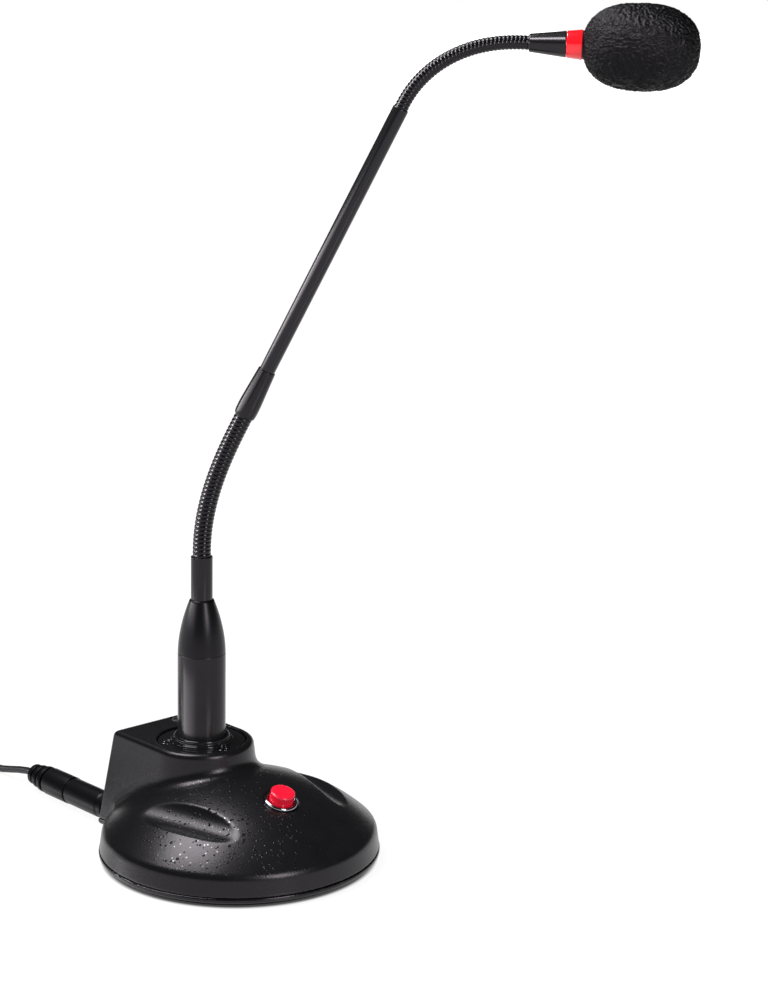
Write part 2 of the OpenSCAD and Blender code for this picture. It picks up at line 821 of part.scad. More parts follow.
module top_housing() {
    color(black_plastic)
        difference() {
            housing_form();
            difference() {
                union() {
                    dome_form(wall, seam_z - over);
                    block_form(wall, seam_z - over, block_top - wall);
                }
                housing_ribs();
            }
            housing_holes();
        }
}
module bottom_plate() {
    color(black_metal)
        difference() {
            union() {
                translate([0, 0, pad_t]) cylinder(h = plate_t, r1 = rim_r(pad_t), r2 = rim_r(seam_z));
                block_form(0, pad_t, seam_z);
            }
            from_below(pad_t) {
                at_bosses() flat_screw_hole(reach, plate_screw_r, plate_screw_head_r);
                at_ballast_screws() flat_screw_hole(reach, ballast_screw_r, ballast_screw_head_r);
            }
        }
}
module foot_pad() {
    color(black_rubber)
        difference() {
            cylinder(h = pad_t, r = base_r - pad_inset);
            at_bosses() translate([0, 0, -over]) cylinder(h = pad_t + 2 * over, r = pad_hole_r);
        }
}
module plate_screws() {
    color(steel_metal)
        from_below(pad_t) at_bosses() flat_screw(plate_screw_l, plate_screw_r, plate_screw_head_r);
}
module ballast_weight() {
    color(steel_metal)
        difference() {
            translate([0, 0, seam_z]) cylinder(h = ballast_t, r = ballast_r);
            translate([-reach, ballast_back, 0]) cube([2 * reach, reach, reach]);
            at_button() translate([0, 0, -reach]) cylinder(h = reach, r = switch_r + ballast_gap);
            at_ballast_screws()
                translate([0, 0, seam_z - over]) cylinder(h = reach, r = ballast_screw_r + snug_fit);
        }
}
module ballast_screws() {
    color(steel_metal)
        from_below(pad_t)
            at_ballast_screws() flat_screw(plate_t + ballast_t - over, ballast_screw_r, ballast_screw_head_r);
}

// Board
module circuit_board() {
    color(board_green)
        difference() {
            translate([-board_w / 2, board_front, board_z]) cube([board_w, board_l, board_t]);
            at_standoffs() cylinder(h = reach, r = board_screw_r + snug_fit);
            at_pins() cylinder(h = reach, r = contact_tail_r + snug_fit);
        }
}
module board_standoffs() {
    color(brass_metal) at_standoffs() pipe(seam_z, board_z, standoff_r, board_screw_r + snug_fit);
}
module board_screws() {
    color(steel_metal)
        at_standoffs() {
            translate([0, 0, board_top]) cylinder(h = board_screw_head_h, r = board_screw_head_r);
            translate([0, 0, board_z - board_screw_grip])
                cylinder(h = board_screw_grip + board_t, r = board_screw_r);
        }
}

// Talk button and its switch
module switch_bezel() {
    color(bright_metal)
        at_button()
            difference() {
                union() {
                    translate([0, 0, -bezel_sink]) cylinder(h = bezel_t, r = bezel_r);
                    translate([0, 0, -bush_l]) cylinder(h = bush_l - bezel_sink, r = bush_r);
                }
                translate([0, 0, -bush_l - over]) cylinder(h = reach, r = bezel_lip_r);
                translate([0, 0, -bush_l - over]) cylinder(h = bush_l + over + lip_bottom, r = bush_bore_r);
            }
}
module switch_nut() {
    color(bright_metal)
        at_button()
            difference() {
                translate([0, 0, nut_top - nut_t]) cylinder(h = nut_t, r = nut_corner_r, $fn = 6);
                translate([0, 0, nut_top - nut_t - over])
                    cylinder(h = nut_t + 2 * over, r = bush_r + snug_fit);
            }
}
module switch_body() {
    color(black_plastic)
        at_button()
            difference() {
                translate([0, 0, switch_bottom]) cylinder(h = switch_h, r = switch_r);
                translate([0, 0, switch_cavity_floor]) cylinder(h = reach, r = bush_bore_r);
            }
}
module switch_terminals() {
    color(brass_metal)
        at_button()
            for (side = [-1, 1])
                translate([(side * terminal_gap - terminal_t) / 2, -terminal_w / 2, terminal_bottom])
                    cube([terminal_t, terminal_w, terminal_l]);
}
module talk_button() {
    cap_edge = [cap_r - cap_round, cap_proud - cap_round];
    color(signal_red)
        at_button() {
            rotate_extrude()
                polygon(concat(
                    [[0, cap_bottom], [button_flange_r, cap_bottom]],
                    [[button_flange_r, flange_top], [cap_r, flange_top]],
                    [for (a = [0 : 15 : 90]) cap_edge + cap_round * [cos(a), sin(a)]],
                    [[0, cap_proud]]
                ));
            translate([0, 0, button_stem_bottom])
                cylinder(h = cap_bottom - button_stem_bottom, r = button_stem_r);
        }
}
module button_spring() {
    color(steel_metal)
        at_button()
            coil_spring(switch_cavity_floor, cap_bottom, button_spring_r, button_wire_r, button_spring_curls);
}

// Mode button and its switch on the board
module mode_switch() {
    color(black_plastic)
        at_mode()
            difference() {
                translate([-mode_switch_w / 2, -mode_switch_w / 2, board_top])
                    cube([mode_switch_w, mode_switch_w, mode_switch_h]);
                translate([0, 0, board_top + plunger_floor]) cylinder(h = reach, r = plunger_r + slide_fit);
            }
}
module mode_plunger() {
    color(black_plastic)
        at_mode() translate([0, 0, plunger_bottom]) cylinder(h = plunger_top - plunger_bottom, r = plunger_r);
}
module mode_button() {
    color(black_plastic)
        at_mode() {
            translate([0, 0, mode_cap_bottom]) cylinder(h = mode_cap_h, r = mode_r);
            translate([0, 0, plunger_top]) cylinder(h = mode_cap_bottom - plunger_top, r = mode_stem_r);
        }
}
module mode_clip() {
    color(steel_metal) at_mode() pipe(clip_top - clip_t, clip_top, clip_r, mode_stem_r + snug_fit);
}
module mode_spring() {
    color(steel_metal)
        at_mode()
            coil_spring(guide_floor_top, mode_cap_bottom, mode_spring_r, mode_wire_r, mode_spring_curls);
}

// Socket
module socket_flange() {
    color(black_metal)
        difference() {
            at_socket() {
                translate([0, 0, flange_seat]) cylinder(h = flange_t, r = flange_r);
                translate([0, 0, socket_bottom]) cylinder(h = collar_top - socket_bottom, r = collar_r);
            }
            at_socket() translate([0, 0, socket_floor]) cylinder(h = reach, r = socket_bore_r);
            at_pins()
                translate([0, 0, socket_bottom - over]) cylinder(h = reach, r = contact_tail_r + free_fit);
            at_flange_screws()
                translate([0, 0, flange_face]) flat_screw_hole(reach, flange_screw_r, flange_screw_head_r);
        }
}
module socket_insert() {
    color(black_plastic)
        difference() {
            at_socket()
                translate([0, 0, socket_floor])
                    cylinder(h = socket_insert_top - socket_floor, r = socket_insert_r);
            at_pins() translate([0, 0, socket_floor - over]) cylinder(h = reach, r = contact_r + snug_fit);
        }
}
module socket_contacts() {
    color(brass_metal)
        at_pins()
            difference() {
                union() {
                    translate([0, 0, contact_bottom])
                        cylinder(h = contact_top - contact_bottom, r = contact_r);
                    translate([0, 0, contact_tail_bottom])
                        cylinder(h = contact_bottom + over - contact_tail_bottom, r = contact_tail_r);
                }
                translate([0, 0, pin_bottom - contact_bore_gap]) cylinder(h = reach, r = contact_bore_r);
            }
}
module flange_screws() {
    color(bright_metal)
        at_flange_screws()
            translate([0, 0, flange_face]) flat_screw(flange_screw_l, flange_screw_r, flange_screw_head_r);
}

// Plug at the foot of the neck
module plug_shell() {
    color(black_metal) at_socket() pipe(shell_bottom, shell_top, shell_r, shell_bore_r);
}
module plug_insert() {
    color(black_plastic)
        difference() {
            at_socket()
                translate([0, 0, plug_insert_bottom]) cylinder(h = plug_insert_h, r = shell_core_r);
            at_pins() cylinder(h = reach, r = pin_r + snug_fit);
        }
}
module plug_pins() {
    color(brass_metal) at_pins() translate([0, 0, pin_bottom]) cylinder(h = pin_top - pin_bottom, r = pin_r);
}
module neck_boot() {
    function boot_r(s) = shell_r - (shell_r - boot_top_d / 2) * pow(s, boot_power);
    color(black_plastic)
        at_socket()
            difference() {
                rotate_extrude()
                    polygon(concat(
                        [[0, boot_bottom], [shell_core_r, boot_bottom], [shell_core_r, shell_top]],
                        [for (i = [0 : boot_steps])
                            [boot_r(i / boot_steps), shell_top + boot_h * i / boot_steps]],
                        [[0, boot_top]]
                    ));
                translate([0, 0, boot_bottom - over]) cylinder(h = reach, r = lead_bore_r);
                translate([0, 0, boot_top - ferrule_spigot_l])
                    cylinder(h = reach, r = ferrule_spigot_r + snug_fit);
            }
}
module lower_ferrule() {
    color(black_metal)
        at_socket() {
            pipe(boot_top, ferrule_top, ferrule_r, lead_bore_r);
            pipe(boot_top - ferrule_spigot_l + snug_fit, boot_top + over, ferrule_spigot_r, lead_bore_r);
        }
}
module plug_lead() {
    color(black_rubber)
        at_socket() translate([0, 0, pin_top]) cylinder(h = ferrule_top - lead_gap - pin_top, r = lead_r);
}

// Neck
module lower_gooseneck() {
    color(black_metal)
        at_neck()
            ribbed_hose(
                lower_line, lower_l, hose_straight, lower_power, 0, lower_bend,
                lower_r, lead_bore_r, lower_ribs
            );
}
module lower_lead() {
    color(black_rubber) at_neck() bent_lead(lower_line);
}
module coupling_sleeve() {
    color(black_metal)
        at_tube()
            difference() {
                rotate_extrude()
                    polygon([
                        [0, 0], [sleeve_end_r, 0], [sleeve_r, sleeve_nose_l], [sleeve_r, sleeve_band_end],
                        [sleeve_top_d / 2, sleeve_l], [0, sleeve_l]
                    ]);
                translate([0, 0, -over]) cylinder(h = reach, r = lead_bore_r);
                translate([0, 0, tube_seat]) cylinder(h = reach, r = tube_r + snug_fit);
            }
}
module rigid_tube() {
    color(black_metal) at_tube() pipe(tube_seat + snug_fit, sleeve_l + tube_l, tube_r, tube_bore_r);
}
module tube_lead() {
    color(black_rubber)
        at_tube() translate([0, 0, lead_gap]) cylinder(h = sleeve_l + tube_l - 2 * lead_gap, r = lead_r);
}
module upper_gooseneck() {
    color(black_metal)
        at_neck()
            ribbed_hose(
                upper_line, upper_l, hose_straight, upper_power, lower_bend, upper_bend,
                upper_r, upper_bore_r, upper_ribs
            );
}
module upper_lead() {
    color(black_rubber) at_neck() bent_lead(upper_line);
}

// Head
module head_cone() {
    color(black_metal)
        at_head()
            difference() {
                union() {
                    cylinder(h = cone_l, r1 = cone_small_r, r2 = cone_big_r);
                    translate([0, 0, cone_l - over]) cylinder(h = ring_spigot_l + over, r = ring_spigot_r);
                }
                translate([0, 0, -over]) cylinder(h = reach, r = lead_bore_r);
            }
}
module light_ring() {
    color(signal_red)
        at_head()
            difference() {
                translate([0, 0, cone_l]) cylinder(h = ring_l, r1 = cone_big_r, r2 = ring_big_r);
                translate([0, 0, cone_l - over]) cylinder(h = reach, r = ring_bore_r);
            }
}
module led_board() {
    color(board_green)
        at_head() {
            difference() {
                translate([0, 0, led_board_z]) cylinder(h = led_board_t, r = ring_spigot_r);
                translate([0, 0, led_board_z - over]) cylinder(h = reach, r = lead_bore_r);
            }
            for (angle = [0 : 90 : 270])
                rotate([0, 0, angle])
                    translate([ring_spigot_r - led_in, -led_size / 2, led_board_z + led_board_t])
                        cube([led_size, led_size, led_size]);
        }
}
module head_lead() {
    color(black_rubber) at_head() cylinder(h = capsule_floor, r = lead_r);
}
module capsule_housing() {
    color(black_metal)
        at_head()
            difference() {
                union() {
                    translate([0, 0, ring_end]) cylinder(h = capsule_housing_l, r = capsule_housing_r);
                    translate([0, 0, ring_end - ring_spigot_l])
                        cylinder(h = ring_spigot_l + over, r = ring_spigot_r);
                }
                translate([0, 0, ring_end - ring_spigot_l - over]) cylinder(h = reach, r = lead_bore_r);
                translate([0, 0, capsule_floor]) cylinder(h = reach, r = capsule_bore_r);
            }
}
module capsule_seal() {
    color(black_rubber) at_head() pipe(capsule_floor, capsule_back, capsule_r, lead_bore_r);
}
module mic_capsule() {
    color(bright_metal)
        at_head()
            difference() {
                translate([0, 0, capsule_back]) cylinder(h = capsule_h, r = capsule_r);
                translate([0, 0, capsule_front - port_depth]) cylinder(h = reach, r = port_r);
            }
}
module front_grille() {
    color(black_metal)
        at_head()
            difference() {
                translate([0, 0, capsule_front]) cylinder(h = grille_t, r = capsule_r);
                for (row = [1 : grille_rows])
                    for (k = [0 : 6 * row - 1])
                        rotate([0, 0, 60 * k / row])
                            translate([row * grille_step, 0, capsule_front - over])
                                cylinder(h = reach, r = grille_hole_r);
            }
}
module windscreen() {
    function foam_r(s) = foam_d / 2 * pow(1 - pow(abs(2 * s - 1), foam_fullness), 1 / foam_fullness);
    // Ends are taken closer together, because the outline turns fastest there
    function share(i) = (1 - cos(180 * i / foam_steps)) / 2;
    color(black_rubber)
        at_head()
            difference() {
                translate([0, 0, ring_end])
                    rotate_extrude()
                        polygon([for (i = [0 : foam_steps]) [foam_r(share(i)), foam_l * share(i)]]);
                translate([0, 0, ring_end - over]) cylinder(h = foam_bore_l + over, r = foam_bore_r);
            }
}

// Cord and its plugs
module jack_socket() {
    half = jack_size / 2;
    color(black_plastic)
        along_jack()
            difference() {
                union() {
                    translate([-half, -half, jack_body_end - jack_l]) cube([jack_size, jack_size, jack_l]);
                    translate([0, 0, jack_body_end - over])
                        cylinder(h = jack_bush_end - jack_body_end + over, r = jack_bush_r);
                }
                translate([0, 0, near_pin_tip - over]) cylinder(h = reach, r = jack_bore_r);
            }
}
module cord_plug_pin() {
    color(bright_metal) along_jack() translate([0, 0, near_pin_tip]) cylinder(h = near_pin_l, r = near_pin_r);
}
// Moulded plug from z = 0 up to its cord, with a seam groove and a ribbed strain relief
module moulded_plug(length) {
    body_end = length - plug_rib_l;
    seam = body_end - plug_seam_l;
    seam_end = seam + plug_seam_w;
    seam_r = plug_r - plug_seam_depth;
    front_r = plug_r - plug_step;
    nose_r = plug_r - plug_nose_step;
    core_r = cord_r + plug_core_wall;
    rib_step = plug_rib_l / plug_ribs;
    rotate_extrude()
        polygon(concat(
            [[0, 0], [nose_r, 0], [nose_r, plug_nose_l], [front_r, plug_nose_l + over]],
            [[front_r, seam], [seam_r, seam], [seam_r, seam_end], [plug_r, seam_end], [plug_r, body_end]],
            [for (i = [0 : plug_ribs - 1])
                let (
                    low = body_end + i * rib_step,
                    rib_low = low + plug_rib_gap * rib_step,
                    rib_r = front_r - plug_rib_taper * i
                )
                each [[core_r, low], [core_r, rib_low], [rib_r, rib_low], [rib_r, low + rib_step]]],
            [[0, length]]
        ));
}
module cord_plug() {
    color(black_rubber) along_jack() translate([0, 0, near_plug_y]) moulded_plug(near_plug_l);
}
module cord_run() {
    color(black_rubber) solid_tube(run_points, cord_r, cord_sides, [0, 0, 1]);
}
module cord_coil() {
    echo(coil_least_gap = coil_gap());
    color(black_rubber) solid_tube(coil_points, cord_r, coil_sides, [0, 0, 1]);
}
module coil_ties() {
    inner = sqrt(pow(coil_in_r - cord_r, 2) - pow(tie_w / 2, 2)) - tie_gap;
    outer = coil_out_r + cord_r + tie_gap;
    top = coil_top + cord_r + tie_gap;
    color(black_rubber)
        for (angle = tie_angles)
            translate([coil_mid[0], coil_mid[1], 0])
                rotate([0, 0, angle])
                    difference() {
                        translate([inner - tie_t, -tie_w / 2, 0])
                            cube([outer - inner + 2 * tie_t, tie_w, top + tie_t]);
                        translate([inner, -tie_w, tie_t]) cube([outer - inner, 2 * tie_w, top - tie_t]);
                    }
}
module cord_tail() {
    color(black_rubber) solid_tube(tail_points, cord_r, cord_sides, [0, 0, 1]);
}
module far_plug() {
    color(black_rubber) along_far_plug() from_below(far_plug_l) moulded_plug(far_plug_l);
}
module far_plug_pin() {
    color(bright_metal)
        along_far_plug()
            translate([0, 0, far_plug_l])
                rotate_extrude()
                    polygon([
                        [0, 0], [far_pin_r, 0], [far_pin_r, far_sleeve_l],
                        [far_shoulder_r, far_shoulder_l], [far_neck_r, far_neck_l],
                        [far_tip_r, far_bulb_l], [far_tip_r, far_taper_l],
                        [far_point_r, far_pin_l], [0, far_pin_l]
                    ]);
}

top_housing();
bottom_plate();
foot_pad();
plate_screws();
ballast_weight();
ballast_screws();
circuit_board();
board_standoffs();
board_screws();
switch_bezel();
switch_nut();
switch_body();
switch_terminals();
talk_button();
button_spring();
mode_switch();
mode_plunger();
mode_button();
mode_clip();
mode_spring();
socket_flange();
socket_insert();
socket_contacts();
flange_screws();
plug_shell();
plug_insert();
plug_pins();
neck_boot();
lower_ferrule();
plug_lead();
lower_gooseneck();
lower_lead();
coupling_sleeve();
rigid_tube();
tube_lead();
upper_gooseneck();
upper_lead();
head_cone();
light_ring();
led_board();
head_lead();
capsule_housing();
capsule_seal();
mic_capsule();
front_grille();
windscreen();
jack_socket();
cord_plug_pin();
cord_plug();
cord_run();
cord_coil();
coil_ties();
cord_tail();
far_plug();
far_plug_pin();
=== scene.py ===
"""Looks of a push-to-talk desk microphone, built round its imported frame.

Sizes are millimetres in the frame's own axes, with +Z up and the talker on the -Y side.
Meshes are made in metres.
"""

from __future__ import annotations

import logging
import math
from dataclasses import dataclass
from enum import Enum
from typing import Callable, Sequence

import bpy
import numpy as np
from mathutils import Matrix, Vector, noise

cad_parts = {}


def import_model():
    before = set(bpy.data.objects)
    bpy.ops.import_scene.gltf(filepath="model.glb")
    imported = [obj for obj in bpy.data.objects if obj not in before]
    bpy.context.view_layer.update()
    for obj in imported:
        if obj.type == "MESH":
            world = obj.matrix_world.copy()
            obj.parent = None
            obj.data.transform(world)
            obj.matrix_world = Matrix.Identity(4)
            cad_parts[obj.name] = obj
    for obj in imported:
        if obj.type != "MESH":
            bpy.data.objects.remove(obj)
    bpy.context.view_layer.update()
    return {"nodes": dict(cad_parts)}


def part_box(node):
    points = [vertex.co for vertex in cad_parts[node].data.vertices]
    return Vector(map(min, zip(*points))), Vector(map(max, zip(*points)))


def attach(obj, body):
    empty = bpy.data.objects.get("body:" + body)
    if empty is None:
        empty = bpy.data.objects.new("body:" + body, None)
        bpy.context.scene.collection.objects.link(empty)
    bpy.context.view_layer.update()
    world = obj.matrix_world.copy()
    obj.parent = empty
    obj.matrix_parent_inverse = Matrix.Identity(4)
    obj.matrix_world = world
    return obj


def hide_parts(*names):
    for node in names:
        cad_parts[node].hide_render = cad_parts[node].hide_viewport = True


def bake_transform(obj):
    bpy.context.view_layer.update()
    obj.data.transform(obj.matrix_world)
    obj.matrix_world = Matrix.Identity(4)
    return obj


LOG = logging.getLogger("microphone")
MM = 0.001
TINY = 1e-9
ON_AXIS = 1e-6

Array = np.ndarray
Distance = Callable[[Array], Array]
Profile = list[tuple[float, float]]
Colour = tuple[float, float, float]
Place = tuple[float, float, float]
Output = tuple[bpy.types.Node, "str | int"]


class Body(Enum):
    """Bodies of the frame that pieces ride on."""

    BASE = "base"
    TALK = "talk"
    MODE = "mode"
    PLUG = "neck_plug"
    LOWER = "lower_neck"
    TUBE = "mid_tube"
    UPPER = "upper_neck"
    HEAD = "head"


class Surface(Enum):
    """Kinds of surface detail that a finish can carry."""

    GRAIN = "fine moulded or sprayed grain"
    WET = "grain with a scatter of small drops"
    BRUSHED = "fine lines drawn along one axis"
    CELLS = "open foam cells"


class Tree:
    """Builds the shader nodes of a material, a lamp or the world."""

    def __init__(self, owner: bpy.types.ID) -> None:
        """Starts an empty node tree.

        Args:
            owner: The material, lamp or world that the nodes belong to.
        """
        owner.use_nodes = True
        self.tree = owner.node_tree
        self.tree.nodes.clear()

    def add(self, kind: str, **inputs: object) -> bpy.types.Node:
        """Adds a node.

        Args:
            kind: Blender's name of the node's type.
            inputs: Values for its sockets, with spaces written as underscores.

        Returns:
            The new node.
        """
        node = self.tree.nodes.new(kind)
        for name, value in inputs.items():
            node.inputs[name.replace("_", " ")].default_value = value
        return node

    def link(self, source: bpy.types.Node, out: str | int, target: bpy.types.Node, into: str | int) -> None:
        """Links one node's output to another's input."""
        self.tree.links.new(source.outputs[out], target.inputs[into])

    def spread(self, value: Output, **limits: float) -> bpy.types.Node:
        """Adds a node that maps one range to another.

        Args:
            value: The (node, output) to map.
            limits: From_Min, From_Max, To_Min and To_Max, where they aren't 0 and 1.

        Returns:
            The mapping node.
        """
        node = self.add("ShaderNodeMapRange", **limits)
        self.link(*value, node, "Value")
        return node

    def mirrored(self, path: bpy.types.Node) -> bpy.types.Node:
        """Returns a node that is 1 for rays that leave a mirror or a glass, from a light path node."""
        return self.math("MAXIMUM", (path, "Is Glossy Ray"), (path, "Is Transmission Ray"))

    def math(self, operation: str, *values: float | Output) -> bpy.types.Node:
        """Adds a math node fed by numbers, or by outputs given as (node, output).

        Args:
            operation: Blender's name of the operation.
            values: The numbers or (node, output) pairs.

        Returns:
            The math node.
        """
        node = self.add("ShaderNodeMath")
        node.operation = operation
        for index, value in enumerate(values):
            if isinstance(value, tuple):
                self.link(*value, node, index)
            else:
                node.inputs[index].default_value = value
        return node


class Nodes(Tree):
    """Builds one material's shader nodes round a principled surface."""

    def __init__(self, name: str) -> None:
        """Starts the material.

        Args:
            name: Name of the new material.
        """
        self.material = bpy.data.materials.new(name)
        super().__init__(self.material)
        self.shader = self.add("ShaderNodeBsdfPrincipled")
        output = self.add("ShaderNodeOutputMaterial")
        self.link(self.shader, "BSDF", output, "Surface")
        self.place = self.add("ShaderNodeTexCoord")

    def noise(self, size: float, detail: float = 2.0) -> bpy.types.Node:
        """Adds noise whose features are about size millimetres wide.

        Args:
            size: Width of a feature, in millimetres.
            detail: Octaves of finer noise.

        Returns:
            The noise node.
        """
        node = self.add("ShaderNodeTexNoise", Scale=1 / (size * MM), Detail=detail, Roughness=0.6)
        self.link(self.place, "Object", node, "Vector")
        return node

    def ramp(self, value: Output, stops: Sequence[tuple[float, Colour]]) -> bpy.types.Node:
        """Adds a colour ramp with two stops.

        Args:
            value: The (node, output) that drives the ramp.
            stops: Places from 0 to 1 with their colours.

        Returns:
            The ramp node.
        """
        node = self.add("ShaderNodeValToRGB")
        for element, (at, colour) in zip(node.color_ramp.elements, stops):
            element.position = at
            element.color = (*colour, 1)
        self.link(*value, node, "Fac")
        return node

    def bump(self, height: Output, depth: float, before: bpy.types.Node | None = None) -> bpy.types.Node:
        """Adds a bump to the surface's normal.

        Args:
            height: The (node, output) that gives the height, from 0 to 1.
            depth: Height of a full bump, in millimetres.
            before: An earlier bump to build on.

        Returns:
            The bump node.
        """
        node = self.add("ShaderNodeBump", Distance=depth * MM, Strength=1.0)
        self.link(*height, node, "Height")
        if before is not None:
            self.link(before, "Normal", node, "Normal")
        self.link(node, "Normal", self.shader, "Normal")
        return node


@dataclass(frozen=True)
class Finish:
    """A surface finish, with the record's slot that it belongs to."""

    name: str
    slot: str
    colour: Colour
    roughness: float
    metallic: float = 0.0
    specular: float = 0.5
    coat: float = 0.0
    grain: float = 0.35
    grain_depth: float = 0.01
    mottle: float = 0.15
    surface: Surface = Surface.GRAIN
    glow: Colour = (0.0, 0.0, 0.0)
    glow_strength: float = 0.0
    tint: Colour = (1.0, 0.92, 1.0)
    coat_roughness: float = 0.08
    mottle_size: float = 9.0
    wet_middle: Place = (-21.0, -21.0, 25.0)
    wet_reach: float = 34.0
    wet_edge: float = 1.7
    wet_from: float = 0.45
    wet_full: float = 0.75
    wet_roughness: float = 0.06
    drop_depth: float = 0.2
    drop_specular: float = 0.02

    def material(self) -> bpy.types.Material:
        """Returns this finish's material, made on first use."""
        found = bpy.data.materials.get(self.name)
        return found or self._make()

    def _make(self) -> bpy.types.Material:
        """Builds the material's nodes.

        Returns:
            The new material.
        """
        nodes = Nodes(self.name)
        shader = nodes.shader.inputs
        shader["Metallic"].default_value = self.metallic
        shader["Specular IOR Level"].default_value = self.specular
        if not self.metallic:
            shader["Specular Tint"].default_value = (*self.tint, 1)
        shader["Coat Weight"].default_value = self.coat
        shader["Coat Roughness"].default_value = self.coat_roughness
        shader["Emission Color"].default_value = (*self.glow, 1)
        shader["Emission Strength"].default_value = self.glow_strength
        self._colour(nodes)
        detail = {
            Surface.GRAIN: self._grain,
            Surface.WET: self._wet,
            Surface.BRUSHED: self._brushed,
            Surface.CELLS: self._cells,
        }
        detail[self.surface](nodes)
        return nodes.material

    def _shade(self, share: float) -> Colour:
        """Returns the colour made lighter or darker by a share."""
        return tuple(min(channel * share, 1.0) for channel in self.colour)

    def _colour(self, nodes: Nodes) -> None:
        """Gives the colour a soft, wide variation."""
        wide = nodes.noise(self.mottle_size, 3.0)
        low, high = self._shade(1 - self.mottle), self._shade(1 + self.mottle)
        ramp = nodes.ramp((wide, "Fac"), [(0.3, low), (0.7, high)])
        nodes.link(ramp, "Color", nodes.shader, "Base Color")

    def _rough(self, nodes: Nodes, value: Output, low: float, high: float) -> None:
        """Drives the roughness.

        Args:
            nodes: The material's nodes.
            value: The (node, output) that drives it.
            low: Share of the roughness where the output is 0.
            high: Share of the roughness where it is 1.
        """
        limits = [min(self.roughness * share, 1.0) for share in (low, high)]
        node = nodes.spread(value, To_Min=limits[0], To_Max=limits[1])
        nodes.link(node, "Result", nodes.shader, "Roughness")

    def _grain(self, nodes: Nodes) -> bpy.types.Node:
        """Adds fine grain to the normal and the roughness, and returns the bump."""
        fine = (nodes.noise(self.grain, 3.0), "Fac")
        self._rough(nodes, fine, 0.8, 1.2)
        return nodes.bump(fine, self.grain_depth)

    def _wet(self, nodes: Nodes) -> None:
        """Adds grain, and a scatter of small bright and dark drops on upward faces."""
        grain = self._grain(nodes)
        sparks = self._drops(nodes, cell=1.5, radius=0.3, keep=0.5)
        small = self._drops(nodes, cell=1.7, radius=0.3, keep=0.5)
        large = self._drops(nodes, cell=2.7, radius=0.26, keep=0.42)
        dark = nodes.math("MAXIMUM", (small, 0), (large, 0))
        height = nodes.math("MAXIMUM", (sparks, 0), (dark, 0))
        where = self._wet_patch(nodes)
        drops_here = nodes.math("MULTIPLY", (height, 0), (where, 0))
        bright = nodes.math("MULTIPLY", (sparks, 0), (where, 0))
        shaded = nodes.math("MULTIPLY", (dark, 0), (where, 0))
        nodes.bump((shaded, 0), self.drop_depth, grain)
        shine = nodes.spread((shaded, 0), To_Min=self.specular, To_Max=self.drop_specular)
        gloss = nodes.math("ADD", (shine, "Result"), (bright, 0))
        nodes.link(gloss, 0, nodes.shader, "Specular IOR Level")
        dry = nodes.shader.inputs["Roughness"].links[0].from_node
        wet = nodes.add("ShaderNodeMix", B=self.wet_roughness)
        nodes.link(drops_here, 0, wet, "Factor")
        nodes.link(dry, "Result", wet, "A")
        nodes.link(wet, "Result", nodes.shader, "Roughness")

    def _wet_patch(self, nodes: Nodes) -> bpy.types.Node:
        """Returns the node that is 1 on the upward faces of the ragged wet patch."""
        facing = nodes.add("ShaderNodeSeparateXYZ")
        geometry = nodes.add("ShaderNodeNewGeometry")
        nodes.link(geometry, "Normal", facing, "Vector")
        upward = nodes.spread((facing, "Z"), From_Min=self.wet_from, From_Max=self.wet_full)
        apart = nodes.add("ShaderNodeVectorMath")
        apart.operation = "DISTANCE"
        apart.inputs[1].default_value = [value * MM for value in self.wet_middle]
        nodes.link(nodes.place, "Object", apart, 0)
        reach = self.wet_reach * MM
        edge = (nodes.noise(self.mottle_size, 1.0), "Fac")
        ragged = nodes.math("MULTIPLY_ADD", edge, reach, (apart, "Value"))
        patchy = nodes.spread((ragged, 0), From_Min=self.wet_edge * reach, From_Max=reach)
        return nodes.math("MULTIPLY", (upward, "Result"), (patchy, "Result"))

    @staticmethod
    def _drops(nodes: Nodes, cell: float, radius: float, keep: float) -> bpy.types.Node:
        """Scatters round drops.

        Args:
            nodes: The material's nodes.
            cell: Space for each drop, in millimetres.
            radius: A drop's radius, as a share of that space.
            keep: Value of a drop's own random shade above which it is kept.

        Returns:
            The node that holds the drops' height, from 0 to 1.
        """
        drops = nodes.add("ShaderNodeTexVoronoi", Scale=1 / (cell * MM))
        nodes.link(nodes.place, "Object", drops, "Vector")
        dome = nodes.spread((drops, "Distance"), From_Min=radius, From_Max=radius * 0.35)
        dome.interpolation_type = "SMOOTHSTEP"
        chosen = nodes.math("GREATER_THAN", (drops, "Color"), keep)
        return nodes.math("MULTIPLY", (dome, "Result"), (chosen, 0))

    def _brushed(self, nodes: Nodes) -> None:
        """Adds fine lines drawn along Z."""
        stretch = nodes.add("ShaderNodeMapping", Scale=(1.0, 1.0, 0.03))
        nodes.link(nodes.place, "Object", stretch, "Vector")
        lines = nodes.noise(self.grain, 4.0)
        nodes.link(stretch, "Vector", lines, "Vector")
        self._rough(nodes, (lines, "Fac"), 0.6, 1.4)
        nodes.bump((lines, "Fac"), self.grain_depth)

    def _cells(self, nodes: Nodes) -> None:
        """Adds the walls and pores of open foam."""
        pores = nodes.add("ShaderNodeTexVoronoi", Scale=1 / (self.grain * MM))
        nodes.link(nodes.place, "Object", pores, "Vector")
        self._rough(nodes, (pores, "Distance"), 0.8, 2.0)
        first = nodes.bump((pores, "Distance"), self.grain_depth)
        fine = nodes.noise(self.grain * 0.4, 3.0)
        nodes.bump((fine, "Fac"), self.grain_depth * 0.5, first)


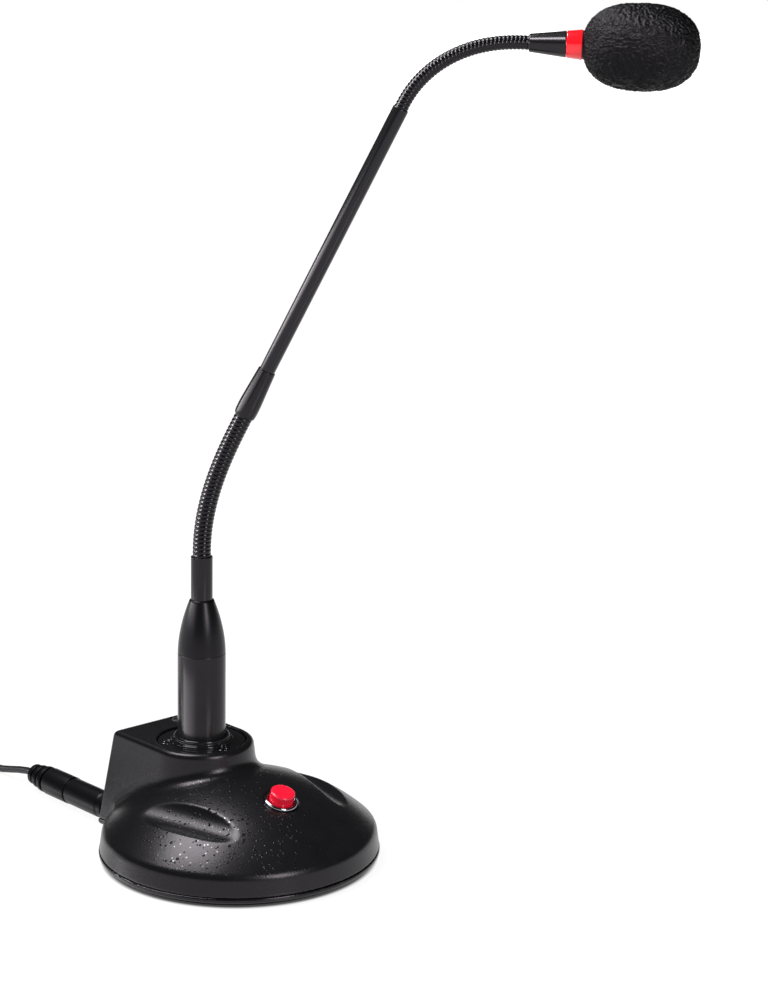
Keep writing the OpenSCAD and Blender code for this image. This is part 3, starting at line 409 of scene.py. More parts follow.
HOUSING = Finish("satin_wet_plastic", "housing", (0.007, 0.007, 0.008), 0.29, specular=0.32, grain=0.6,
                 grain_depth=0.03, surface=Surface.WET)
INNER = Finish("plain_moulded_plastic", "inner_plastic", (0.02, 0.02, 0.021), 0.5)
GLOSSY = Finish("smooth_black_plastic", "inner_plastic", (0.005, 0.005, 0.0055), 0.3, specular=0.2,
                grain_depth=0.002)
PAINT = Finish("matte_black_paint", "neck_paint", (0.01, 0.0098, 0.0105), 0.2, specular=0.24,
               grain_depth=0.002)
SATIN = Finish("satin_black_paint", "neck_paint", (0.01, 0.01, 0.011), 0.2, specular=0.3, grain_depth=0.003)
FLANGE = Finish("gloss_black_paint", "neck_paint", (0.008, 0.008, 0.009), 0.12, specular=0.35,
                grain_depth=0.002)
HOSE = Finish("black_plated_wire", "neck_hose", (0.005, 0.005, 0.006), 0.13, specular=0.25, grain_depth=0.001)
PLATE = Finish("black_painted_steel", "plate", (0.005, 0.005, 0.006), 0.18, specular=0.3, grain_depth=0.003)
FOOT = Finish("foot_rubber", "foot", (0.01, 0.01, 0.01), 0.75, grain_depth=0.02)
STEEL = Finish("turned_steel", "steel", (0.52, 0.53, 0.55), 0.3, metallic=1.0, surface=Surface.BRUSHED)
CHROME = Finish("polished_chrome", "chrome", (0.82, 0.83, 0.85), 0.08, metallic=1.0, mottle=0.04,
                grain_depth=0.001)
BEZEL = Finish("dark_chrome", "chrome", (0.36, 0.36, 0.38), 0.1, metallic=1.0, mottle=0.04,
               grain_depth=0.001)
BLACKED = Finish("blackened_steel", "steel", (0.3, 0.3, 0.31), 0.16, metallic=1.0, grain_depth=0.002)
BRASS = Finish("bare_brass", "brass", (0.72, 0.55, 0.24), 0.25, metallic=1.0, surface=Surface.BRUSHED)
BOARD = Finish("solder_mask", "board", (0.02, 0.14, 0.06), 0.35, coat=0.3)
CAP_RED = Finish("red_button_plastic", "button_red", (0.86, 0.008, 0.035), 0.22, specular=0.5, coat=0.4,
                 mottle=0.05, grain_depth=0.002)
RING_RED = Finish("lit_red_plastic", "ring_red", (0.85, 0.004, 0.012), 0.18, coat=0.5, mottle=0.05,
                  grain_depth=0.002, glow=(1.0, 0.02, 0.03), glow_strength=0.35)
FOAM = Finish("open_cell_foam", "foam", (0.003, 0.003, 0.0035), 0.26, specular=0.12, grain=0.7,
              grain_depth=0.12, surface=Surface.CELLS)
CORD = Finish("cord_jacket", "cord", (0.008, 0.008, 0.009), 0.4, specular=0.25, grain_depth=0.004)
PLUG = Finish("moulded_plug", "cord", (0.006, 0.006, 0.007), 0.35, specular=0.13, grain_depth=0.01)


def smooth_min(a: Array, b: Array, width: float) -> Array:
    """Blends two distances into the union of their shapes, with a fillet.

    Args:
        a: First distance.
        b: Second distance.
        width: Width over which they blend, in millimetres.

    Returns:
        The distance to the union.
    """
    near = np.maximum(width - np.abs(a - b), 0) / width
    return np.minimum(a, b) - near * near * width / 4


def smooth_max(a: Array, b: Array, width: float) -> Array:
    """Blends two distances into the overlap of their shapes, with a rounded edge."""
    return -smooth_min(-a, -b, width)


@dataclass
class Axis:
    """A line that turned shapes stand on, in millimetres."""

    origin: Vector
    along: Vector

    def matrix(self) -> Matrix:
        """Returns the matrix that stands +Z on this axis, in metres."""
        turn = self.along.to_track_quat("Z", "Y").to_matrix().to_4x4()
        return Matrix.Translation(self.origin * MM) @ turn

    def at(self, distance: float) -> Vector:
        """Returns the point at a distance along the axis."""
        return self.origin + self.along * distance

    def measure(self, points: Array) -> tuple[Array, Array]:
        """Measures points against the axis.

        Args:
            points: Points whose last dimension is x, y, z.

        Returns:
            Their distance from the axis, and along it.
        """
        offset = points - np.array(self.origin)
        along = offset @ np.array(self.along)
        square = np.einsum("...i,...i", offset, offset) - along * along
        return np.sqrt(np.maximum(square, 0)), along


def upright(x: float, y: float, z: float = 0.0) -> Axis:
    """Returns a vertical axis through a point."""
    return Axis(Vector((x, y, z)), Vector((0, 0, 1)))


@dataclass
class SurfaceNet:
    """Turns a signed distance into a closed mesh of quads.

    Points settle onto the surface in a few passes. The probe and the longest move are shares of a cell.
    """

    distance: Distance
    low: Place
    high: Place
    cell: float
    passes: int = 3
    probe: float = 0.05
    longest: float = 0.4
    least_square: float = 0.2

    EDGES = tuple(
        (np.array(corner), np.array(corner) + np.eye(3, dtype=int)[axis])
        for axis in range(3)
        for corner in np.ndindex(2, 2, 2)
        if corner[axis] == 0
    )

    def build(self) -> tuple[Array, Array]:
        """Meshes the distance's zero level.

        Returns:
            Points in millimetres, and quads.
        """
        values = self._sample()
        inside = values < 0
        count = sum(
            inside[i:i - 1 or None, j:j - 1 or None, k:k - 1 or None].astype(np.int8)
            for i, j, k in np.ndindex(2, 2, 2)
        )
        mixed = (count > 0) & (count < 8)
        cells = np.argwhere(mixed)
        numbers = np.full(mixed.shape, -1, np.int64)
        numbers[mixed] = np.arange(len(cells))
        points = np.array(self.low) + self.cell * (cells + self._crossings(values, cells))
        return self._settle(points), self._quads(inside, numbers)

    def _sample(self) -> Array:
        """Returns the distance at every grid point, worked out one layer at a time."""
        x, y, z = (np.arange(a, b + self.cell, self.cell) for a, b in zip(self.low, self.high))
        across, along = np.meshgrid(x, y, indexing="ij")
        layers = [self.distance(np.stack([across, along, np.full_like(across, level)], -1)) for level in z]
        return np.stack(layers, -1)

    def _crossings(self, values: Array, cells: Array) -> Array:
        """Averages where the surface crosses each cell's edges.

        Args:
            values: Distances on the grid.
            cells: Indices of the cells that the surface crosses.

        Returns:
            A point in each cell, from 0 to 1 along its sides.
        """
        total = np.zeros(cells.shape)
        hits = np.zeros(len(cells))
        for start, end in self.EDGES:
            a = values[tuple((cells + start).T)]
            b = values[tuple((cells + end).T)]
            crossed = (a < 0) != (b < 0)
            share = np.where(crossed, a / np.where(crossed, a - b, 1), 0)
            total += np.where(crossed[:, None], start + share[:, None] * (end - start), 0)
            hits += crossed
        return total / hits[:, None]

    def _settle(self, points: Array) -> Array:
        """Moves points onto the surface along its gradient."""
        step = self.probe * self.cell
        steps = step * np.eye(3)
        for _ in range(self.passes):
            rises = [self.distance(points + ahead) - self.distance(points - ahead) for ahead in steps]
            gradient = np.stack(rises, -1) / (2 * step)
            square = np.maximum((gradient ** 2).sum(-1), self.least_square)
            move = (self.distance(points) / square)[:, None] * gradient
            length = np.maximum(np.linalg.norm(move, axis=-1, keepdims=True), TINY)
            points = points - move * np.minimum(1, self.longest * self.cell / length)
        return points

    @staticmethod
    def _quads(inside: Array, numbers: Array) -> Array:
        """Joins the points of the four cells round each crossed grid edge.

        Args:
            inside: True at grid points inside the shape.
            numbers: The point's number in each cell.

        Returns:
            Quads that face outwards.
        """
        found = []
        for axis in range(3):
            flags = np.moveaxis(inside, (axis, (axis + 1) % 3, (axis + 2) % 3), (0, 1, 2))
            ids = np.moveaxis(numbers, (axis, (axis + 1) % 3, (axis + 2) % 3), (0, 1, 2))
            lower, upper = flags[:-1, 1:-1, 1:-1], flags[1:, 1:-1, 1:-1]
            i, j, k = np.nonzero(lower != upper)
            quad = np.stack([ids[i, j, k], ids[i, j + 1, k], ids[i, j + 1, k + 1], ids[i, j, k + 1]], -1)
            outward = lower[i, j, k]
            found.append(np.where(outward[:, None], quad, quad[:, ::-1]))
        return np.concatenate(found)


def mesh_object(
    name: str, points: Array, faces: Array | list[Sequence[int]], sharp: float = 40.0
) -> bpy.types.Object:
    """Makes a smooth-shaded closed object from points in millimetres.

    Args:
        name: Name of the object.
        points: Points in millimetres.
        faces: Faces as rows of point numbers.
        sharp: Angle in degrees past which an edge stays sharp.

    Returns:
        The object, linked to the scene.
    """
    mesh = bpy.data.meshes.new(name)
    rows = faces.tolist() if isinstance(faces, np.ndarray) else list(faces)
    mesh.from_pydata((np.asarray(points) * MM).tolist(), [], rows)
    mesh.validate()
    if signed_volume(mesh) < 0:
        mesh.flip_normals()
    mesh.shade_smooth()
    mesh.set_sharp_from_angle(angle=math.radians(sharp))
    made = bpy.data.objects.new(name, mesh)
    bpy.context.scene.collection.objects.link(made)
    return made


def rounded(profile: Profile, radius: float, steps: int = 4) -> Profile:
    """Rounds the corners of a closed outline.

    Args:
        profile: Corners as (distance from the axis, height).
        radius: How far along each side the rounding reaches, in millimetres.
        steps: Pieces in each rounding.

    Returns:
        The outline with its corners rounded, apart from those on the axis.
    """
    made: Profile = []
    for index, corner in enumerate(profile):
        here = Vector(corner)
        if here.x < ON_AXIS:
            made.append(corner)
            continue
        ends = [Vector(profile[index - 1]), Vector(profile[(index + 1) % len(profile)])]
        reach = min([radius] + [(end - here).length * 0.45 for end in ends])
        first, last = (here + (end - here).normalized() * reach for end in ends)
        for step in range(steps + 1):
            share = step / steps
            point = first * (1 - share) ** 2 + here * 2 * share * (1 - share) + last * share ** 2
            made.append((point.x, point.y))
    return made


def lathe(name: str, profile: Profile, axis: Axis, segments: int = 96) -> bpy.types.Object:
    """Turns a closed outline about an axis.

    Args:
        name: Name of the object.
        profile: Closed outline as (distance from the axis, height along it), going round it once.
        axis: The axis.
        segments: Faces round the axis.

    Returns:
        The turned object.
    """
    points: list[tuple[float, float, float]] = []
    rows: list[list[int]] = []
    for radius, height in profile:
        turns = segments if radius > ON_AXIS else 1
        first = len(points)
        for k in range(turns):
            angle = 2 * math.pi * k / segments
            points.append((radius * math.cos(angle), radius * math.sin(angle), height))
        rows.append([first + k % turns for k in range(segments)])
    faces = []
    for low, high in zip(rows, rows[1:] + rows[:1]):
        for k in range(segments):
            n = (k + 1) % segments
            face = list(dict.fromkeys((low[k], low[n], high[n], high[k])))
            if len(face) > 2:
                faces.append(face)
    made = mesh_object(name, np.array(points), faces)
    made.data.transform(axis.matrix())
    return made


def tube_faces(rings: int, sides: int) -> list[Sequence[int]]:
    """Joins rings of points into a capped tube."""
    faces: list[Sequence[int]] = []
    for i in range(rings - 1):
        for k in range(sides):
            n = (k + 1) % sides
            faces.append((i * sides + k, i * sides + n, (i + 1) * sides + n, (i + 1) * sides + k))
    last = (rings - 1) * sides
    return faces + [tuple(range(sides))[::-1], tuple(range(last, last + sides))]


def signed_volume(mesh: bpy.types.Mesh) -> float:
    """Returns a closed mesh's volume, negative where its faces look inwards."""
    mesh.calc_loop_triangles()
    corners = np.empty(len(mesh.loop_triangles) * 3, np.int32)
    mesh.loop_triangles.foreach_get("vertices", corners)
    points = np.empty(len(mesh.vertices) * 3, np.float32)
    mesh.vertices.foreach_get("co", points)
    a, b, c = np.moveaxis(points.reshape(-1, 3)[corners.reshape(-1, 3)].astype(float), 1, 0)
    return float(np.einsum("ij,ij->i", a, np.cross(b, c)).sum() / 6)


def dress(piece: bpy.types.Object, finish: Finish) -> bpy.types.Object:
    """Gives a piece its finish."""
    piece.data.materials.clear()
    piece.data.materials.append(finish.material())
    return piece


def install(piece: bpy.types.Object, finish: Finish, body: Body, *nodes: str) -> bpy.types.Object:
    """Dresses a new piece, makes it ride on its body and hides the nodes that it stands for.

    Args:
        piece: The new piece.
        finish: Its finish.
        body: The body that it rides on.
        nodes: The frame's nodes that it stands for.

    Returns:
        The piece.
    """
    dress(piece, finish)
    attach(piece, body.value)
    if nodes:
        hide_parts(*nodes)
    LOG.info("%s rides on %s", piece.name, body.value)
    return piece


def span(
    piece: bpy.types.Object, finish: Finish, bodies: Sequence[Body], ends: Sequence[Vector], node: str
) -> bpy.types.Object:
    """Dresses a new piece, bakes its place into its mesh and hides the frame's node that it stands for.

    Args:
        piece: The new piece.
        finish: Its finish.
        bodies: The body that it starts on and the body that it ends on. Not used.
        ends: Where it leaves the one and reaches the other, in millimetres. Not used.
        node: The frame's node that it stands for.

    Returns:
        The piece.
    """
    dress(piece, finish)
    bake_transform(piece)
    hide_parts(node)
    return piece


class Reach(Enum):
    """Which pieces a lamp lights, out of those named for it."""

    ONLY = "INCLUDE"
    ALL_BUT = "EXCLUDE"


@dataclass(frozen=True)
class Lamp:
    """A rectangular soft lamp, which the camera doesn't see.

    It stands turn degrees to the left of the camera's side, seen from the object, and rise degrees above the
    table. Its distance from the place that it faces and its size are in metres, and that place, aim, is in
    millimetres. Its brightness falls from radiance at one side edge to a share of it, fade, at the other.
    """

    name: str
    turn: float
    rise: float
    distance: float
    size: tuple[float, float]
    radiance: float
    fade: float = 1.0
    aim: Place = (0.0, 0.0, 60.0)
    mirrored_only: bool = False

    def build(self, look: Place) -> bpy.types.Object:
        """Makes the lamp.

        Args:
            look: The direction that the camera looks in.

        Returns:
            The lamp.
        """
        data = bpy.data.lights.new(self.name, "AREA")
        data.shape = "RECTANGLE"
        data.size, data.size_y = self.size
        data.energy = self.radiance * math.pi * self.size[0] * self.size[1]
        if self.fade < 1:
            self._fade(data)
        lamp = bpy.data.objects.new(self.name, data)
        back = -Vector((look[0], look[1], 0)).normalized()
        side = Matrix.Rotation(math.radians(-self.turn), 3, "Z") @ back
        rise = math.radians(self.rise)
        away = side * math.cos(rise) + Vector((0, 0, math.sin(rise)))
        facing = (-away).to_track_quat("-Z", "Y").to_matrix().to_4x4()
        lamp.matrix_world = Matrix.Translation(Vector(self.aim) * MM + away * self.distance) @ facing
        lamp.visible_camera = False
        lamp.visible_diffuse = not self.mirrored_only
        bpy.context.scene.collection.objects.link(lamp)
        return lamp

    def _fade(self, data: bpy.types.AreaLight) -> None:
        """Makes the lamp dimmer towards one of its side edges."""
        nodes = Tree(data)
        place = nodes.add("ShaderNodeNewGeometry")
        split = nodes.add("ShaderNodeSeparateXYZ")
        nodes.link(place, "Parametric", split, 0)
        share = nodes.spread((split, "X"), To_Min=1.0, To_Max=self.fade)
        emission = nodes.add("ShaderNodeEmission", Color=(1, 1, 1, 1))
        nodes.link(share, "Result", emission, "Strength")
        output = nodes.add("ShaderNodeOutputLight")
        nodes.link(emission, 0, output, 0)


TOP_SOFTBOX = Lamp("top_softbox", turn=112, rise=67, distance=1.1, size=(0.66, 0.54), radiance=12.5)
FRONT_SOFTBOX = Lamp("front_softbox", turn=-38, rise=26, distance=1.2, size=(0.36, 0.6), radiance=12.0)
LEFT_SOFTBOX = Lamp("left_softbox", turn=74, rise=20, distance=0.9, size=(1.3, 0.26), radiance=16.0, fade=0.0)
SIDE_CARD = Lamp("side_card", turn=54, rise=0, distance=0.1, size=(0.136, 0.05), radiance=6.0, fade=0.0,
                 aim=(0.0, 24.0, 25.0), mirrored_only=True)
NECK_STRIP = Lamp("neck_strip", turn=80, rise=22, distance=0.9, size=(0.2, 0.7), radiance=40.0,
                  aim=(0.0, 0.0, 200.0), mirrored_only=True)
HEAD_CARD = Lamp("head_card", turn=30, rise=52, distance=0.7, size=(0.5, 0.2), radiance=26.0,
                 aim=(100.0, -95.0, 316.0), mirrored_only=True)


@dataclass
class Studio:
    """Camera, lamps, floor and backdrop.

    The floor's whiteness rises from near_share to 1 between the two distances of near, in metres from the
    middle, and from its painted shadow share to 1 between those of under, at the edge of the base, where the
    dimmer glow is a painted contact shadow.
    """

    camera_at: Place = (-535.0, -652.6, 330.7)
    look: Place = (0.6762, 0.7249, -0.1317)
    roll: float = 0.66
    focal_px: float = 2245.5
    drop_px: float = 193.0
    frame_px: int = 986
    sensor: float = 36.0
    floor_size: float = 40.0
    floor_drop: float = 0.0002
    floor_colour: Colour = (0.14, 0.14, 0.14)
    floor_roughness: float = 0.06
    near: tuple[float, float] = (0.15, 0.5)
    near_share: float = 0.9
    # under and the share below it paint a contact shadow: the floor's glow dims under the base's rim.
    under: tuple[float, float] = (0.0525, 0.0545)
    painted_shadow_share: float = 0.05
    sweep_rise: float = 0.08
    fill: float = 0.2
    mirrored_fill: float = 0.03

    def build(self) -> None:
        """Makes the camera, the lamps, the floor and the world."""
        self._camera()
        TOP_SOFTBOX.build(self.look)
        FRONT_SOFTBOX.build(self.look)
        self._floor()
        self._world()
        bpy.context.scene.view_settings.view_transform = "Standard"

    def _camera(self) -> None:
        """Stands the camera where the photograph was taken from."""
        data = bpy.data.cameras.new("camera")
        data.sensor_width = self.sensor
        data.lens = self.focal_px / self.frame_px * self.sensor
        data.shift_y = -self.drop_px / self.frame_px
        data.clip_start = 0.05
        data.clip_end = 100
        camera = bpy.data.objects.new("camera", data)
        turn = Vector(self.look).to_track_quat("-Z", "Y").to_matrix().to_4x4()
        roll = Matrix.Rotation(math.radians(self.roll), 4, "Z")
        camera.matrix_world = Matrix.Translation(Vector(self.camera_at) * MM) @ turn @ roll
        bpy.context.scene.collection.objects.link(camera)
        bpy.context.scene.camera = camera

    def light(self, lamp: Lamp, reach: Reach, *pieces: bpy.types.Object) -> None:
        """Adds a lamp that lights only some pieces, or all but those.

        Args:
            lamp: The lamp.
            reach: Whether it lights the pieces or leaves them out.
            pieces: The pieces.
        """
        made = lamp.build(self.look)
        linked = bpy.data.collections.new(f"{lamp.name}_pieces")
        for piece in pieces:
            linked.objects.link(piece)
        for entry in linked.collection_objects:
            entry.light_linking.link_state = reach.value
        made.light_linking.receiver_collection = linked

    def _floor(self) -> None:
        """Lays a pale floor that keeps the shadow of the object, with a painted contact shadow round the
        base's edge.
        """
        half = self.floor_size / 2
        corners = [(-half, -half, 0), (half, -half, 0), (half, half, 0), (-half, half, 0)]
        mesh = bpy.data.meshes.new("floor")
        mesh.from_pydata(corners, [], [(0, 1, 2, 3)])
        floor = bpy.data.objects.new("floor", mesh)
        floor.location.z = -self.floor_drop
        bpy.context.scene.collection.objects.link(floor)
        nodes = Nodes("pale_floor")
        nodes.shader.inputs["Base Color"].default_value = (*self.floor_colour, 1)
        nodes.shader.inputs["Roughness"].default_value = self.floor_roughness
        path = nodes.add("ShaderNodeLightPath")
        seen = nodes.math("MAXIMUM", (path, "Is Camera Ray"), (nodes.mirrored(path), 0))
        distance = nodes.add("ShaderNodeVectorMath")
        distance.operation = "LENGTH"
        nodes.link(nodes.place, "Object", distance, 0)
        pale = []
        # The second ramp paints a contact shadow: it dims the floor's glow under the base's edge, which the
        # glow alone would ignore.
        for (start, end), share in ((self.near, self.near_share), (self.under, self.painted_shadow_share)):
            pale.append(nodes.spread((distance, "Value"), From_Min=start, From_Max=end, To_Min=share))
        whiteness_and_painted_shadow = nodes.math("MULTIPLY", *((part, "Result") for part in pale))
        glow = nodes.math("MULTIPLY", (seen, 0), (whiteness_and_painted_shadow, 0))
        nodes.shader.inputs["Emission Color"].default_value = (1, 1, 1, 1)
        nodes.link(glow, 0, nodes.shader, "Emission Strength")
        mesh.materials.append(nodes.material)

    def _world(self) -> None:
        """Makes a white sweep that is seen, and mirrored near the floor, and a dim fill above it."""
        world = bpy.data.worlds.new("studio")
        nodes = Tree(world)
        path = nodes.add("ShaderNodeLightPath")
        place = nodes.add("ShaderNodeTexCoord")
        height = nodes.add("ShaderNodeSeparateXYZ")
        nodes.link(place, "Generated", height, 0)
        low = nodes.spread((height, "Z"), From_Min=self.sweep_rise, From_Max=0.0)
        swept = nodes.math("MULTIPLY", (nodes.mirrored(path), 0), (low, "Result"))
        seen = nodes.math("MAXIMUM", (path, "Is Camera Ray"), (swept, 0))
        dim = nodes.spread((path, "Is Glossy Ray"), To_Min=self.fill, To_Max=self.mirrored_fill)
        fill = nodes.add("ShaderNodeBackground", Color=(1, 1, 1, 1))
        nodes.link(dim, "Result", fill, "Strength")
        white = nodes.add("ShaderNodeBackground", Color=(1, 1, 1, 1), Strength=1.0)
        mix = nodes.add("ShaderNodeMixShader")
        nodes.link(seen, 0, mix, "Fac")
        nodes.link(fill, 0, mix, 1)
        nodes.link(white, 0, mix, 2)
        output = nodes.add("ShaderNodeOutputWorld")
        nodes.link(mix, 0, output, "Surface")
        bpy.context.scene.world = world


@dataclass
class Cord:
    """The cord, put away in a tied coil behind the base, with a plug on each end."""

    diameter: float = 3.0
    run: tuple[Place, ...] = (
        (-18.6, 113.16, 6.3), (-18.6, 119, 6.1), (-18.7, 125, 5), (-18.9, 131, 3.6), (-19.2, 137, 2.3),
        (-19.6, 143, 1.6), (-20, 150, 1.5), (-20.5, 157, 1.5), (-21, 165, 1.6), (-21.5, 173, 2),
        (-21.8, 180, 2.5), (-22, 185, 2.8), (-22, 189, 2.8),
    )
    tail: tuple[Place, ...] = (
        (-68, 189, 13.6), (-68, 185, 13.4), (-68, 179, 12.2), (-68, 173, 10.2), (-68, 167, 8),
        (-68, 161, 6.5), (-68, 156, 6), (-68, 152, 6),
    )
    run_on: float = 16.0
    plug_radius: float = 5.6
    plug_neck: float = 3.4
    grip: float = 16.0
    groove: float = 0.7
    ribs: int = 3
    rib_step: float = 4.0
    rib_gap: float = 1.6
    rib_taper: float = 0.6
    pin_radius: float = 3.175
    pin_point: float = 9.0
    coil_middle: tuple[float, float] = (-45.0, 192.0)
    coil_out: float = 23.0
    coil_in: float = 11.0
    coil_low: float = 2.8
    coil_rise: float = 3.6
    loops: int = 3
    layers: int = 4
    rings: int = 24
    tie_angles: tuple[float, ...] = (65.0, 245.0)
    tie_half: float = 4.0
    tie_thick: float = 1.0
    tie_slack: float = 0.3

    def build(self) -> bpy.types.Object:
        """Makes the cord, its ties and its plugs, and returns the plug at the base."""
        plug = self._plug("near_plug", "cord_plug", self.run[0])
        far = [self._plug("far_plug_moulding", "far_plug", self.tail[-1]), self._far_pin()]
        ties = self._ties()
        route = self.route()
        cord = self._curve(route)
        install(cord, CORD, Body.BASE, "cord_run", "cord_coil", "cord_tail")
        return plug

    def _coil_point(self, turns: float) -> Place:
        """Finds a point on the coil, which spirals in, climbs a layer, spirals out and so on.

        Args:
            turns: Turns from the coil's lower outer end.

        Returns:
            The point, in millimetres.
        """
        span = self.loops + 0.5
        layer = min(int(turns / span), self.layers - 1)
        part = turns - layer * span
        width = min(part / self.loops, 1) * (self.coil_out - self.coil_in)
        radius = self.coil_out - width if layer % 2 == 0 else self.coil_in + width
        climb = max(part - self.loops, 0) * 2
        angle = 2 * math.pi * turns
        x, y = self.coil_middle
        height = self.coil_low + (layer + climb) * self.coil_rise
        return x + radius * math.cos(angle), y + radius * math.sin(angle), height

    def route(self) -> Array:
        """Returns the cord's middle line from the near plug to inside the far one."""
        turns = self.layers * self.loops + (self.layers - 1) / 2
        count = round(turns * self.rings)
        coil = [self._coil_point(i / self.rings) for i in range(count + 1)]
        x, y, z = self.tail[-1]
        return np.array([*self.run, *coil, *self.tail, (x, y - self.run_on, z)], float)

    def _curve(self, route: Array) -> bpy.types.Object:
        """Makes the cord as a round curve.

        Args:
            route: Its middle line, in millimetres.

        Returns:
            The cord.
        """
        data = bpy.data.curves.new("cord", "CURVE")
        data.dimensions = "3D"
        data.bevel_depth = self.diameter / 2 * MM
        data.bevel_resolution = 4
        data.use_fill_caps = True
        spline = data.splines.new("POLY")
        spline.points.add(len(route) - 1)
        for point, place in zip(spline.points, route * MM):
            point.co = (*place, 1)
        spline.use_smooth = True
        cord = bpy.data.objects.new("cord", data)
        bpy.context.scene.collection.objects.link(cord)
        return cord

    def _moulding(self, length: float) -> Profile:
        """Draws a moulded plug with a seam groove and a ribbed strain relief.

        Args:
            length: Length from its nose to its cord, in millimetres.

        Returns:
            Its outline, from the nose to the cord.
        """
        radius, groove, neck = self.plug_radius, self.groove, self.plug_neck
        body_end = length - self.ribs * self.rib_step
        seam = body_end - self.grip
        nose = radius - 0.2
        outline = [(0, 0), (radius - 0.5, 0), (radius - 0.5, 3), (nose, 4), (nose, seam)]
        outline += [(radius - groove, seam), (radius - groove, seam + groove), (radius, seam + groove)]
        outline += [(radius, body_end)]
        for rib in range(self.ribs):
            low = body_end + rib * self.rib_step
            middle, high = low + self.rib_gap, low + self.rib_step
            reach = nose - self.rib_taper * rib
            outline += [(neck, low), (neck, middle), (reach, middle), (reach, high)]
        return rounded([*outline, (0, length)], 0.5)

    def _plug(self, name: str, node: str, end: Place) -> bpy.types.Object:
        """Makes the moulded plug on one end of the cord.

        Args:
            name: Name of the piece.
            node: The frame's node that it stands for.
            end: Where the cord ends in it.

        Returns:
            The plug.
        """
        low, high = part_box(node)
        axis = Axis(Vector((end[0], low.y / MM, end[2])), Vector((0, 1, 0)))
        plug = lathe(name, self._moulding((high.y - low.y) / MM), axis)
        return install(plug, PLUG, Body.BASE, node)

    def _far_pin(self) -> bpy.types.Object:
        """Makes the pin of the plug on the cord's far end."""
        low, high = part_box("far_plug_pin")
        length = (high.y - low.y) / MM
        radius, sleeve = self.pin_radius, length - self.pin_point
        outline = [(0, 0), (radius, 0), (radius, sleeve)]
        outline += [(radius - 0.7, sleeve + 1), (radius - 0.9, sleeve + 3)]
        outline += [(radius - 0.1, sleeve + 4.5), (radius - 0.1, sleeve + 6), (0.6, length), (0, length)]
        axis = Axis(Vector((self.tail[-1][0], high.y / MM, self.tail[-1][2])), Vector((0, -1, 0)))
        pin = lathe("far_plug_contact", rounded(outline, 0.3), axis)
        return install(pin, CHROME, Body.BASE, "far_plug_pin")

    def _ties(self) -> list[bpy.types.Object]:
        """Makes the two strap ties round the coil."""
        half = self.diameter / 2
        hole = self.coil_in - half
        inner = math.sqrt(hole ** 2 - self.tie_half ** 2) - self.tie_slack
        outer = self.coil_out + half + self.tie_slack
        top = self.coil_low + (self.layers - 1) * self.coil_rise + half + self.tie_slack
        made = []
        for number, degrees in enumerate(self.tie_angles):
            strap = self._strap(f"coil_tie_{number + 1}", inner, outer, top)
            turn = Matrix.Rotation(math.radians(degrees), 4, "Z")
            strap.data.transform(Matrix.Translation(Vector((*self.coil_middle, 0)) * MM) @ turn)
            made.append(install(strap, CORD, Body.BASE, "coil_ties"))
        return made

    def _strap(self, name: str, inner: float, outer: float, top: float) -> bpy.types.Object:
        """Makes a strap that goes once round a section of the coil.

        Args:
            name: Name of the strap.
            inner: Inner face's distance from the coil's middle.
            outer: Outer face's distance from the coil's middle.
            top: Height of the coil's top.

        Returns:
            The strap, standing across the X axis.
        """
        thick, half = self.tie_thick, self.tie_half
        loop = rounded([(inner, thick), (outer, thick), (outer, top), (inner, top)], 2.0, 5)
        middle = np.array([(inner + outer) / 2, (thick + top) / 2])
        points, faces = [], []
        for x, z in loop:
            away = np.array([x, z]) - middle
            out = np.array([x, z]) + thick * away / np.abs(away).max()
            out = np.clip(out, [inner - thick, 0.0], [outer + thick, top + thick])
            points += [(x, -half, z), (x, half, z), (out[0], half, out[1]), (out[0], -half, out[1])]
        count = len(loop)
        for i in range(count):
            a, b = 4 * i, 4 * ((i + 1) % count)
            faces += [(a + k, a + (k + 1) % 4, b + (k + 1) % 4, b + k) for k in range(4)]
        return mesh_object(name, np.array(points), faces)


